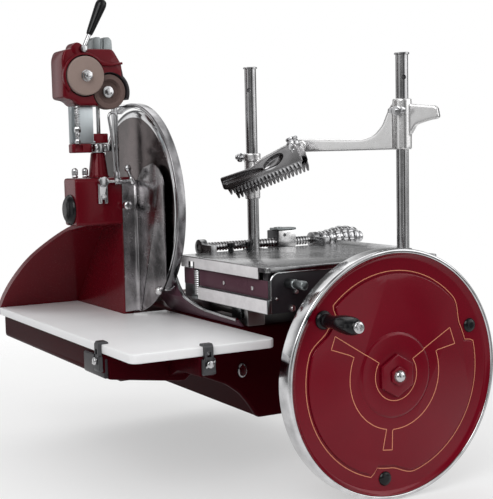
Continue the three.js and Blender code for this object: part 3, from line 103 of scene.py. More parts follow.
def arc(u: float, v: float, radius: float, start: float, end: float, steps: int) -> list[Point2]:
    """Return points on an arc.

    Args:
        u: Centre's first coordinate.
        v: Centre's second coordinate.
        radius: Radius of the arc.
        start: First angle in degrees.
        end: Last angle in degrees.
        steps: Number of chords.

    Returns:
        The points from the first angle to the last.
    """
    turns = [math.radians(start + (end - start) * i / steps) for i in range(steps + 1)]
    return [(u + radius * math.cos(a), v + radius * math.sin(a)) for a in turns]


def rounded(points: Sequence[Point2], radius: float, steps: int = 3, closed: bool = True) -> list[Point2]:
    """Round an outline's corners.

    Args:
        points: Corners of the outline.
        radius: How far from a corner the rounding starts.
        steps: Chords in each rounding.
        closed: Whether the last corner joins the first.

    Returns:
        The rounded outline.
    """
    result: list[Point2] = []
    for i, corner in enumerate(points):
        if not closed and i in (0, len(points) - 1):
            result.append(corner)
            continue
        here = Vector(corner)
        back = Vector(points[i - 1]) - here
        ahead = Vector(points[(i + 1) % len(points)]) - here
        reach = min(radius, 0.45 * back.length, 0.45 * ahead.length)
        first = here + back.normalized() * reach
        last = here + ahead.normalized() * reach
        for k in range(steps + 1):
            t = k / steps
            spot = first * (1 - t) ** 2 + here * (2 * t * (1 - t)) + last * t * t
            result.append((spot.x, spot.y))
    return result


def flowing(points: Sequence[Sequence[float]], per_span: int = 6) -> list[tuple[float, ...]]:
    """Return a smooth line through points.

    Args:
        points: Points in any number of dimensions.
        per_span: Chords between two neighbouring points.

    Returns:
        Points of the smooth line, both ends included.
    """
    spots = [Vector(p) for p in points]
    line: list[tuple[float, ...]] = []
    for i in range(len(spots) - 1):
        a, b = spots[max(i - 1, 0)], spots[i]
        c, d = spots[i + 1], spots[min(i + 2, len(spots) - 1)]
        for k in range(per_span):
            t = k / per_span
            flat = b * 2 + (c - a) * t + (a * 2 - b * 5 + c * 4 - d) * t * t
            line.append(tuple((flat + (b * 3 - c * 3 + d - a) * t**3) / 2))
    line.append(tuple(spots[-1]))
    return line


def polygon(sides: int, radius: float, turn: float = 0.0) -> list[Point2]:
    """Return a regular polygon about the origin whose first corner is at turn degrees."""
    return arc(0.0, 0.0, radius, turn, turn + 360.0 - 360.0 / sides, sides - 1)


class Form:
    """A closed shape under construction."""

    def __init__(self, vertices: Iterable[Point3], faces: Iterable[Sequence[int]]) -> None:
        """Make the shape.

        Args:
            vertices: Corners in millimetres.
            faces: Corner numbers of each face.
        """
        mesh = bpy.data.meshes.new("form")
        mesh.from_pydata([tuple(c * MM for c in v) for v in vertices], [], list(faces))
        self.body = bpy.data.objects.new("form", mesh)
        bpy.context.scene.collection.objects.link(self.body)
        self._edit(lambda shape: bmesh.ops.recalc_face_normals(shape, faces=shape.faces))

    def _edit(self, work: Callable[[bmesh.types.BMesh], Any]) -> None:
        """Change the shape's mesh.

        Args:
            work: What is done to it.
        """
        shape = bmesh.new()
        shape.from_mesh(self.body.data)
        work(shape)
        shape.to_mesh(self.body.data)
        shape.free()

    @staticmethod
    def _bevel(
        shape: bmesh.types.BMesh, edges: Iterable[bmesh.types.BMEdge], width: float, rounds: int
    ) -> None:
        """Round edges of a mesh.

        Args:
            shape: The mesh.
            edges: Its edges that are rounded.
            width: Width of the rounding.
            rounds: Chords in it.
        """
        bmesh.ops.bevel(
            shape,
            geom=list(edges),
            offset=width * MM,
            segments=rounds,
            profile=0.5,
            affect="EDGES",
            clamp_overlap=True,
        )

    @classmethod
    def skin(cls, rings: Sequence[Sequence[Point3]], closed: bool = False) -> Form:
        """Join rings of corners.

        Args:
            rings: Corners of each ring, as many in each.
            closed: Whether the last ring joins the first; if not, both ends are capped.

        Returns:
            The joined form.
        """
        count, total = len(rings[0]), len(rings) * len(rings[0])
        caps = [tuple(range(count)), tuple(range(total - 1, total - count - 1, -1))]
        faces: list[tuple[int, ...]] = [] if closed else caps
        for start in range(0, total if closed else total - count, count):
            for k in range(count):
                a, b = start + k, start + (k + 1) % count
                faces.append((a, b, (b + count) % total, (a + count) % total))
        return cls([corner for ring in rings for corner in ring], faces)

    @classmethod
    def prism(
        cls,
        axis: Axis,
        points: Sequence[Point2],
        low: float,
        high: float,
        edge: float = 0.0,
        rounds: int = 2,
    ) -> Form:
        """Extrude an outline.

        Args:
            axis: Axis to extrude along.
            points: Outline in the plane square to the axis.
            low: Where the extrusion starts.
            high: Where it ends.
            edge: Rounding of the rims of both end faces.
            rounds: Chords in that rounding.

        Returns:
            The extruded form.
        """
        count = len(points)
        form = cls.skin([[axis.at(u, v, along) for u, v in points] for along in (low, high)])
        if edge:
            form._edit(
                lambda shape: cls._bevel(
                    shape,
                    {e for f in shape.faces if len(f.verts) == count for e in f.edges},
                    edge,
                    rounds,
                )
            )
        return form

    @classmethod
    def block(cls, x: Span, y: Span, z: Span, edge: float = 0.0, rounds: int = 2) -> Form:
        """Make a box with rounded edges.

        Args:
            x: Span along x.
            y: Span along y.
            z: Span along z.
            edge: Width of the rounding.
            rounds: Chords in it.

        Returns:
            The box.
        """
        corners = [(x[0], z[0]), (x[1], z[0]), (x[1], z[1]), (x[0], z[1])]
        form = cls.prism(Axis.Y, corners, y[0], y[1])
        return form.soft(edge, rounds) if edge else form

    @classmethod
    def lathe(
        cls,
        axis: Axis,
        profile: Sequence[Point2],
        centre: Point3 = (0.0, 0.0, 0.0),
        steps: int = 64,
        edge: float = 0.0,
        rounds: int = 2,
    ) -> Form:
        """Turn a profile about an axis.

        Args:
            axis: Axis of turning.
            profile: Points as (radius, distance along the axis). A profile that stays off the
                axis is closed into a ring.
            centre: Origin of the profile.
            steps: Chords in a full turn.
            edge: Rounding of the profile's corners.
            rounds: Chords in that rounding.

        Returns:
            The turned form.
        """
        if edge:
            profile = rounded(profile, edge, rounds, closed=profile[0][0] > 0.0)
        corners: list[Point3] = []
        rings: list[list[int]] = []
        for radius, along in profile:
            if radius < MERGE:
                rings.append([len(corners)])
                corners.append(axis.at(0.0, 0.0, along))
                continue
            rings.append(list(range(len(corners), len(corners) + steps)))
            for i in range(steps):
                turn = 2 * math.pi * i / steps
                corners.append(axis.at(radius * math.cos(turn), radius * math.sin(turn), along))
        pairs = list(zip(rings, rings[1:]))
        if len(rings[0]) > 1 or len(rings[-1]) > 1:
            pairs.append((rings[-1], rings[0]))
        faces: list[tuple[int, ...]] = []
        for a, b in pairs:
            for i in range(steps):
                k = (i + 1) % steps
                if len(a) == 1:
                    faces.append((a[0], b[i], b[k]))
                elif len(b) == 1:
                    faces.append((a[i], a[k], b[0]))
                else:
                    faces.append((a[i], a[k], b[k], b[i]))
        return cls(corners, faces).moved(*centre)

    @classmethod
    def rod(
        cls,
        axis: Axis,
        radius: float,
        low: float,
        high: float,
        centre: Point3 = (0.0, 0.0, 0.0),
        edge: float = 0.6,
        steps: int = 40,
    ) -> Form:
        """Make a round bar with rounded rims.

        Args:
            axis: Direction of the bar.
            radius: Its radius.
            low: Where it starts.
            high: Where it ends.
            centre: Origin of those two.
            edge: Rounding of its rims.
            steps: Chords round it.

        Returns:
            The bar.
        """
        return cls.lathe(axis, [(0.0, low), (radius, low), (radius, high), (0.0, high)], centre, steps, edge)

    @classmethod
    def nut(cls, axis: Axis, radius: float, low: float, high: float, centre: Point3) -> Form:
        """Make a hexagon with rounded edges from its corner radius and span."""
        return cls.prism(axis, polygon(6, radius, 90.0), low, high, 0.08 * radius).moved(*centre)

    @classmethod
    def tube(cls, path: Sequence[Sequence[float]], radius: float, sides: int = 12) -> Form:
        """Sweep a round section along a path.

        Args:
            path: Points of the centre line.
            radius: Radius of the section.
            sides: Chords round it.

        Returns:
            The swept form with flat ends.
        """
        spots = [Vector(p) for p in path]
        heading = (spots[1] - spots[0]).normalized()
        side = heading.orthogonal().normalized()
        turns = [2 * math.pi * k / sides for k in range(sides)]
        rings: list[list[Point3]] = []
        for i, spot in enumerate(spots):
            heading = (spots[min(i + 1, len(spots) - 1)] - spots[max(i - 1, 0)]).normalized()
            side = (side - heading * side.dot(heading)).normalized()
            other = heading.cross(side)
            rings.append([tuple(spot + (side * math.cos(t) + other * math.sin(t)) * radius) for t in turns])
        return cls.skin(rings)

    def _combined(self, operation: str, others: Sequence[Form]) -> Form:
        """Join, cut or intersect with other forms.

        Args:
            operation: Blender's name for it.
            others: The other forms, which are used up.

        Returns:
            This form.
        """
        for other in others:
            step = self.body.modifiers.new(operation, "BOOLEAN")
            step.operation = operation
            step.solver = "MANIFOLD"
            step.object = other.body
        shown = self.body.evaluated_get(bpy.context.evaluated_depsgraph_get())
        mesh = bpy.data.meshes.new_from_object(shown)
        self.body.modifiers.clear()
        self.body.data = mesh
        for other in others:
            bpy.data.objects.remove(other.body)
        return self

    def join(self, *others: Form) -> Form:
        """Add other forms."""
        return self._combined("UNION", others)

    def cut(self, *others: Form) -> Form:
        """Take other forms away."""
        return self._combined("DIFFERENCE", others)

    def common(self, *others: Form) -> Form:
        """Keep what lies in this form and the others."""
        return self._combined("INTERSECT", others)

    def soft(self, width: float, rounds: int = 2) -> Form:
        """Round the edges that turn sharply.

        Args:
            width: Width of the rounding.
            rounds: Chords in it.

        Returns:
            This form.
        """

        def work(shape: bmesh.types.BMesh) -> None:
            """Bevel the sharp edges of a cleaned mesh.

            Args:
                shape: The mesh.
            """
            bmesh.ops.remove_doubles(shape, verts=shape.verts, dist=MERGE)
            level = math.radians(LEVEL_ANGLE)
            bmesh.ops.dissolve_limit(shape, angle_limit=level, verts=shape.verts, edges=shape.edges)
            limit = math.radians(CORNER_ANGLE)
            sharp = [e for e in shape.edges if len(e.link_faces) == 2 and e.calc_face_angle(0.0) > limit]
            self._bevel(shape, sharp, width, rounds)

        self._edit(work)
        return self

    def moved(self, x: float = 0.0, y: float = 0.0, z: float = 0.0) -> Form:
        """Shift the form."""
        self.body.data.transform(Matrix.Translation((x * MM, y * MM, z * MM)))
        return self

    def turned(self, degrees: float, axis: Axis, about: Point3 = (0.0, 0.0, 0.0)) -> Form:
        """Turn the form about a line.

        Args:
            degrees: Angle.
            axis: Direction of the line.
            about: Point on it.

        Returns:
            This form.
        """
        spot = Vector(about) * MM
        turn = Matrix.Rotation(math.radians(degrees), 4, axis.name)
        self.body.data.transform(Matrix.Translation(spot) @ turn @ Matrix.Translation(-spot))
        return self

    def into(self, matrix: Matrix) -> Form:
        """Put the form into another frame, whose matrix is in metres."""
        self.body.data.transform(matrix)
        return self

    def melted(self, cell: float, passes: int = 6) -> Form:
        """Blend the form into one cast skin.

        Args:
            cell: Size of the remeshing cell.
            passes: Smoothing passes after it.

        Returns:
            This form.
        """
        skin = self.body.modifiers.new("skin", "REMESH")
        skin.mode = "VOXEL"
        skin.voxel_size = cell * MM
        ease = self.body.modifiers.new("ease", "SMOOTH")
        ease.factor = 0.5
        ease.iterations = passes
        return self._combined("UNION", ())

    def piece(
        self,
        name: str,
        finish: Finish,
        node: str,
        *also: str,
        smooth: float = 34.0,
        stands: bool = True,
        rides: bool = True,
    ) -> bpy.types.Object:
        """Turn the form into a named piece that rides with a CAD node's body.

        Args:
            name: Name of the piece.
            finish: What it is made of.
            node: CAD node whose body it rides on.
            also: Further CAD nodes that it stands for.
            smooth: Edges that turn by less than this many degrees are shaded smooth.
            stands: Whether it stands for the CAD node.
            rides: Whether it rides rigidly with the body.

        Returns:
            The finished object.
        """

        def shade(shape: bmesh.types.BMesh) -> None:
            """Shade the faces smooth between sharp edges.

            Args:
                shape: The mesh.
            """
            bmesh.ops.remove_doubles(shape, verts=shape.verts, dist=MERGE)
            for face in shape.faces:
                face.smooth = True
            for edge in shape.edges:
                loose = len(edge.link_faces) != 2
                edge.smooth = loose or edge.calc_face_angle(0.0) < math.radians(smooth)

        self._edit(shade)
        self.body.name = name
        self.body.data.name = name
        self.body.data.materials.clear()
        self.body.data.materials.append(finish.material())
        if rides:
            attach(self.body, BODY_OF[node])
        if stands:
            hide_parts(node, *also)
        LOG.info("piece %s on %s, %d faces", name, BODY_OF[node], len(self.body.data.polygons))
        return self.body


class Wire:
    """A node's output that takes part in arithmetic."""

    def __init__(self, graph: Graph, socket: bpy.types.NodeSocket) -> None:
        """Hold a socket of a graph."""
        self.graph = graph
        self.socket = socket

    def _math(self, operation: str, *values: Value) -> Wire:
        """Add a Math node."""
        return self.graph.node("ShaderNodeMath", {"operation": operation}, dict(enumerate(values)))

    def __add__(self, other: Value) -> Wire:
        """Return self + other."""
        return self._math("ADD", self, other)

    def __radd__(self, other: Value) -> Wire:
        """Return other + self."""
        return self._math("ADD", other, self)

    def __sub__(self, other: Value) -> Wire:
        """Return self - other."""
        return self._math("SUBTRACT", self, other)

    def __rsub__(self, other: Value) -> Wire:
        """Return other - self."""
        return self._math("SUBTRACT", other, self)

    def __mul__(self, other: Value) -> Wire:
        """Return self * other."""
        return self._math("MULTIPLY", self, other)

    def __rmul__(self, other: Value) -> Wire:
        """Return other * self."""
        return self._math("MULTIPLY", other, self)


class Graph:
    """A node tree that is written as expressions."""

    def __init__(self, tree: bpy.types.NodeTree) -> None:
        """Start with an empty tree."""
        self.tree = tree
        tree.nodes.clear()

    def node(
        self,
        kind: str,
        settings: dict[str, Value] | None = None,
        inputs: dict[str | int, Value] | None = None,
        output: str | int = 0,
    ) -> Wire:
        """Add any node.

        Args:
            kind: Type of the node.
            settings: Its attributes; "stops" sets a colour ramp's stops.
            inputs: Values or wires by socket name or number.
            output: Socket that is returned.

        Returns:
            The chosen output.
        """
        made = self.tree.nodes.new(kind)
        for name, value in (settings or {}).items():
            if name == "stops":
                ramp = made.color_ramp
                while len(ramp.elements) < len(value):
                    ramp.elements.new(1.0)
                for element, (position, shade) in zip(ramp.elements, value):
                    element.position = position
                    element.color = (shade, shade, shade, 1.0)
            else:
                setattr(made, name, value)
        for key, value in (inputs or {}).items():
            if isinstance(value, Wire):
                self.tree.links.new(value.socket, made.inputs[key])
            else:
                made.inputs[key].default_value = value
        return Wire(self, made.outputs[output])

    def place(self, stretch: Point3 = (1.0, 1.0, 1.0)) -> Wire:
        """Read the object coordinates, stretched about the origin.

        Args:
            stretch: Factors along x, y and z.

        Returns:
            The coordinates.
        """
        spot = self.node("ShaderNodeTexCoord", output="Object")
        if stretch == (1.0, 1.0, 1.0):
            return spot
        return self.node("ShaderNodeVectorMath", {"operation": "MULTIPLY"}, {0: spot, 1: stretch})

    def noise(self, scale: float, detail: float = 3.0, rough: float = 0.5, at: Wire | None = None) -> Wire:
        """Return a noise value of a given scale, in cells per metre."""
        inputs = {"Vector": at or self.place(), "Scale": scale, "Detail": detail, "Roughness": rough}
        return self.node("ShaderNodeTexNoise", None, inputs, "Fac")

    def ramp(self, value: Wire, *stops: Point2) -> Wire:
        """Return a value through a ramp whose stops are (position, level)."""
        return self.node("ShaderNodeValToRGB", {"stops": stops}, {"Fac": value})

    def mix(self, share: Value, first: Value, second: Value) -> Wire:
        """Return a colour between two others."""
        inputs = {0: share, 6: _colour(first), 7: _colour(second)}
        return self.node("ShaderNodeMix", {"data_type": "RGBA"}, inputs, 2)

    def edges(self, reach: float) -> Wire:
        """Find the edges of the object.

        Args:
            reach: Width of an edge in metres.

        Returns:
            A mask that is 1 on edges.
        """
        bent = self.node("ShaderNodeBevel", {"samples": 4}, {"Radius": reach})
        plain = self.node("ShaderNodeNewGeometry", output="Normal")
        along = self.node("ShaderNodeVectorMath", {"operation": "DOT_PRODUCT"}, {0: bent, 1: plain}, "Value")
        return self.ramp(1.0 - along, (0.004, 0.0), (0.08, 1.0))

    def bump(self, height: Wire, strength: float, depth: float) -> Wire:
        """Return a normal bent by a height, whose depth is in metres."""
        inputs = {"Height": height, "Strength": strength, "Distance": depth}
        return self.node("ShaderNodeBump", None, inputs)

    def surface(self, **sockets: Value) -> None:
        """End the tree in a Principled shader.

        Args:
            sockets: Values by socket name, with _ for a space.
        """
        inputs = {name.replace("_", " "): value for name, value in sockets.items()}
        shader = self.node("ShaderNodeBsdfPrincipled", None, inputs)
        self.node_out(shader)

    def node_out(self, shader: Wire) -> None:
        """Link a shader to the material's output."""
        out = self.tree.nodes.new("ShaderNodeOutputMaterial")
        self.tree.links.new(shader.socket, out.inputs["Surface"])


def _colour(value: Value) -> Value:
    """Return a colour of three numbers with its alpha, and a wire as it is."""
    return value if isinstance(value, Wire) else (*value, 1.0)


@dataclass(frozen=True)
class Finish:
    """A finish with its name, its material slot in the record and its colour."""

    name: str
    slot: str
    colour: Point3

    def material(self) -> bpy.types.Material:
        """Make the finish's material once.

        Returns:
            The material.
        """
        made = bpy.data.materials.get(self.name)
        if made is None:
            made = bpy.data.materials.new(self.name)
            made.use_nodes = True
            self.draw(Graph(made.node_tree))
        return made

    def shade(self, factor: float) -> Point3:
        """Return the finish's colour, lighter or darker."""
        return tuple(min(1.0, c * factor) for c in self.colour)

    def draw(self, graph: Graph) -> None:
        """Draw the finish."""
        raise NotImplementedError


@dataclass(frozen=True)
class Enamel(Finish):
    """Glossy stoving enamel with orange peel, fine dust and thin edges."""

    gloss: float = 0.2
    coat: float = 0.3
    shine: float = 0.35

    def draw(self, graph: Graph) -> None:
        """Draw clouds, peel, dust and rubbed edges.

        Args:
            graph: Tree to draw in.
        """
        cloud = graph.noise(11.0, 4.0, 0.6)
        dust = graph.ramp(graph.noise(420.0, 3.0, 0.7), (0.60, 0.0), (0.72, 1.0))
        worn = graph.edges(0.0012)
        body = graph.mix(cloud, self.shade(0.82), self.shade(1.18))
        lifted = graph.mix(dust * 0.10, body, self.shade(2.2))
        peel = graph.noise(520.0, 1.0, 0.4) + 0.6 * graph.noise(60.0, 2.0)
        graph.surface(
            Base_Color=graph.mix(worn * 0.30, lifted, self.shade(2.0)),
            Roughness=self.gloss + 0.10 * cloud + 0.12 * dust + 0.1 * worn,
            Specular_IOR_Level=self.shine,
            Specular_Tint=(1.0, 0.22, 0.26, 1.0),
            Coat_Weight=self.coat - 0.4 * self.coat * dust,
            Coat_Roughness=0.05,
            Normal=graph.bump(peel, 0.10, 0.0002),
        )


@dataclass(frozen=True)
class Polished(Finish):
    """Plated or polished metal with smudges and hairline scratches."""

    rough: float = 0.08
    stretch: Point3 = (1.0, 1.0, 1.0)
    cloud: float = 0.25

    def draw(self, graph: Graph) -> None:
        """Draw smudges, scratches and bright edges.

        Args:
            graph: Tree to draw in.
        """
        smudge = graph.ramp(graph.noise(24.0, 4.0, 0.6), (0.34, 0.0), (0.66, 1.0))
        fine = graph.noise(900.0, 2.0, 0.5, graph.place(self.stretch))
        hair = graph.ramp(
            graph.noise(240.0, 4.0, 0.7, graph.place((1.0, 0.12, 1.0))),
            (0.58, 0.0),
            (0.66, 1.0),
        )
        worn = graph.edges(0.0008)
        tone = graph.mix(smudge, self.shade(1.0 - self.cloud), self.shade(1.0 + 0.5 * self.cloud))
        graph.surface(
            Base_Color=graph.mix(worn * 0.4, tone, self.shade(1.35)),
            Metallic=1.0,
            Roughness=self.rough + 0.08 * smudge + 0.05 * hair + 0.04 * fine,
            Normal=graph.bump(fine + 0.5 * hair, 0.05, 0.0001),
        )


@dataclass(frozen=True)
class Brushed(Finish):
    """Ground metal whose grain runs along one axis."""

    rough: float = 0.28
    stretch: Point3 = (0.04, 1.0, 1.0)

    def draw(self, graph: Graph) -> None:
        """Draw the grain, stains and rubbed edges.

        Args:
            graph: Tree to draw in.
        """
        grain = graph.noise(1100.0, 3.0, 0.6, graph.place(self.stretch))
        stain = graph.noise(18.0, 5.0, 0.6)
        worn = graph.edges(0.001)
        tone = graph.mix(stain, self.shade(0.8), self.shade(1.1))
        grained = graph.mix(grain * 0.5, tone, self.shade(0.72))
        graph.surface(
            Base_Color=graph.mix(worn * 0.5, grained, self.shade(1.3)),
            Metallic=1.0,
            Roughness=self.rough + 0.12 * grain + 0.10 * stain,
            Normal=graph.bump(grain, 0.14, 0.0001),
        )


@dataclass(frozen=True)
class CastMetal(Finish):
    """Cast and hand-polished metal with soft waves and pores."""

    rough: float = 0.22

    def draw(self, graph: Graph) -> None:
        """Draw waves, pores and bright edges.

        Args:
            graph: Tree to draw in.
        """
        wave = graph.noise(48.0, 2.0, 0.5)
        pore = graph.ramp(graph.noise(650.0, 2.0, 0.6), (0.64, 0.0), (0.74, 1.0))
        cloud = graph.noise(14.0, 4.0, 0.6)
        worn = graph.edges(0.0015)
        tone = graph.mix(cloud, self.shade(0.78), self.shade(1.08))
        marked = graph.mix(pore * 0.45, tone, self.shade(0.5))
        graph.surface(
            Base_Color=graph.mix(worn * 0.4, marked, self.shade(1.25)),
            Metallic=1.0,
            Roughness=self.rough + 0.14 * cloud + 0.2 * pore,
            Normal=graph.bump(wave - 0.35 * pore, 0.16, 0.0006),
        )


@dataclass(frozen=True)
class Moulded(Finish):
    """Moulded plastic or phenolic with a fine skin and handling marks."""

    rough: float = 0.2
    coat: float = 0.5

    def draw(self, graph: Graph) -> None:
        """Draw the skin, smears and rubbed edges.

        Args:
            graph: Tree to draw in.
        """
        smear = graph.noise(34.0, 5.0, 0.65)
        skin = graph.noise(1500.0, 2.0, 0.5)
        worn = graph.edges(0.001)
        tone = graph.mix(smear, self.shade(0.75), self.shade(1.3))
        graph.surface(
            Base_Color=graph.mix(worn * 0.35, tone, tuple(c * 0.7 + 0.05 for c in self.colour)),
            Roughness=self.rough + 0.14 * smear + 0.1 * worn,
            Specular_IOR_Level=0.22,
            Coat_Weight=self.coat,
            Coat_Roughness=0.08,
            Normal=graph.bump(skin + 0.6 * smear, 0.06, 0.0001),
        )


@dataclass(frozen=True)
class CuttingBoard(Finish):
    """White cutting board with faint knife marks and stains."""

    def draw(self, graph: Graph) -> None:
        """Draw knife marks one way and the other, stains and a fine grain.

        Args:
            graph: Tree to draw in.
        """
        along = graph.noise(260.0, 4.0, 0.7, graph.place((0.05, 1.0, 1.0)))
        across = graph.noise(260.0, 4.0, 0.7, graph.place((1.0, 0.06, 1.0)))
        marks = graph.ramp(along, (0.60, 0.0), (0.70, 1.0)) + graph.ramp(across, (0.62, 0.0), (0.71, 1.0))
        stain = graph.noise(9.0, 5.0, 0.6)
        grain = graph.noise(1300.0, 2.0, 0.5)
        tone = graph.mix(stain, self.shade(0.93), self.shade(1.03))
        graph.surface(
            Base_Color=graph.mix(marks * 0.12, tone, self.shade(0.8)),
            Roughness=0.34 + 0.14 * stain + 0.08 * marks,
            Coat_Weight=0.15,
            Coat_Roughness=0.3,
            Normal=graph.bump(grain - 0.8 * marks, 0.10, 0.0001),
        )


@dataclass(frozen=True)
class Abrasive(Finish):
    """Bonded abrasive of coarse grit."""

    grit: float = 1400.0

    def draw(self, graph: Graph) -> None:
        """Draw the grit, glazed patches and pores.

        Args:
            graph: Tree to draw in.
        """
        inputs = {"Vector": graph.place(), "Scale": self.grit}
        cells = graph.node("ShaderNodeTexVoronoi", None, inputs, "Distance")
        speck = graph.noise(self.grit * 0.7, 3.0, 0.7)
        glaze = graph.noise(60.0, 4.0, 0.6)
        tone = graph.mix(speck, self.shade(0.62), self.shade(1.4))
        graph.surface(
            Base_Color=graph.mix(glaze * 0.45, tone, self.shade(0.7)),
            Roughness=0.95 - 0.25 * glaze,
            Normal=graph.bump(cells + speck, 0.7, 0.0004),
        )


RED = Enamel("red_enamel", "red_paint", (0.104, 0.0022, 0.0068), 0.2, 0.22, 0.3)
RED_FACE = Enamel("wheel_enamel", "red_paint", (0.155, 0.0016, 0.0100), 0.12, 0.30, 0.25)
# Shaded copy of the red enamel: painted shade for the base casting's dark faces.
SHADED_RED = Enamel("maroon_enamel", "red_paint", (0.032, 0.0014, 0.0034), 0.30, 0.01, 0.02)
# Red paint turned a darker, greyed plum: painted shade and sheen on the apron, painted shade on the
# carriage's side sheet.
PAINTED_SHADE_PLUM = Enamel("plum_enamel", "red_paint", (0.088, 0.040, 0.056), 0.24, 0.08, 0.1)
LINE = Enamel("line_paint", "red_paint", (0.66, 0.25, 0.14), 0.35, 0.1)
CHROME = Polished("polished_chrome", "chrome", (0.56, 0.56, 0.57))
MIRROR = Polished("mirror_chrome", "chrome", (0.66, 0.66, 0.67), 0.05)
DARK_CHROME = Polished("dark_chrome", "chrome", (0.30, 0.295, 0.30), 0.12)
CLOUDY = Polished("cloudy_sheet", "chrome", (0.40, 0.385, 0.395), 0.16, cloud=0.5)
# Steel darkened to paint the dark reflection on the guard ring's outer face.
GUARD_PAINTED_REFLECTION = Polished("guard_steel", "chrome", (0.34, 0.335, 0.345), 0.14, cloud=0.4)
# Steel darkened and warmed to paint the dark brown reflections on the knife.
BLADE_PAINTED_REFLECTION = Polished("blade_steel", "brushed_steel", (0.115, 0.094, 0.094), 0.15, cloud=0.5)
POST = Polished("drawn_post_steel", "chrome", (0.44, 0.44, 0.445), 0.12, (1.0, 1.0, 0.05))
TABLE_TOP = Polished("table_plate", "chrome", (0.33, 0.33, 0.335), 0.17, (0.05, 1.0, 1.0), 0.4)
STEEL_X = Brushed("ground_steel_x", "brushed_steel", (0.38, 0.375, 0.37))
STEEL_Y = Brushed("ground_steel_y", "brushed_steel", (0.38, 0.375, 0.37), 0.28, (1.0, 0.04, 1.0))
SLIDE = Brushed("slide_steel", "brushed_steel", (0.50, 0.54, 0.56), 0.30, (1.0, 1.0, 0.04))
ALUMINIUM = CastMetal("satin_aluminium", "cast_aluminium", (0.26, 0.28, 0.285))
BRIGHT_CASTING = CastMetal("polished_casting", "cast_aluminium", (0.86, 0.855, 0.855), 0.20)
DARK_STEEL = CastMetal("oiled_steel", "dark_steel", (0.10, 0.10, 0.105), 0.34)
BLACK = Moulded("black_phenolic", "black_plastic", (0.004, 0.004, 0.005), 0.16, 0.10)
PANEL = Moulded("black_panel", "black_plastic", (0.020, 0.017, 0.020), 0.30, 0.12)
# Pale non-metal standing for plated steel: paints the bright reflection on the table's and carriage's side
# strips.
PAINTED_HIGHLIGHT_BAND = Moulded("pale_band", "chrome", (0.70, 0.68, 0.69), 0.24, 0.25)
WHITE = CuttingBoard("board_plastic", "white_board", (0.93, 0.93, 0.94))
BRONZE = CastMetal("bearing_bronze", "bronze", (0.42, 0.27, 0.10), 0.3)
COARSE = Abrasive("coarse_stone", "grinding_stone", (0.33, 0.245, 0.215))
FINE = Abrasive("fine_stone", "honing_stone", (0.155, 0.100, 0.088), 1900.0)


def dress(node: str, finish: Finish, edge: float = 0.5) -> None:
    """Keep a CAD node in view with a finish and rounded edges.

    Args:
        node: Name of the node.
        finish: Its finish.
        edge: Width of the rounding, or 0 for none.
    """
    solid = FRAME["nodes"][node]
    flat = solid.modifiers.new("flat", "DECIMATE")
    flat.decimate_type = "DISSOLVE"
    flat.angle_limit = math.radians(FLAT_ANGLE)
    if edge:
        soft = solid.modifiers.new("soft", "BEVEL")
        soft.width = edge * MM
        soft.segments = 2
        soft.limit_method = "ANGLE"
        soft.angle_limit = math.radians(SHARP_ANGLE)
    for place in solid.material_slots:
        place.link = "OBJECT"
        place.material = finish.material()
    LOG.info("node %s keeps its solid", node)


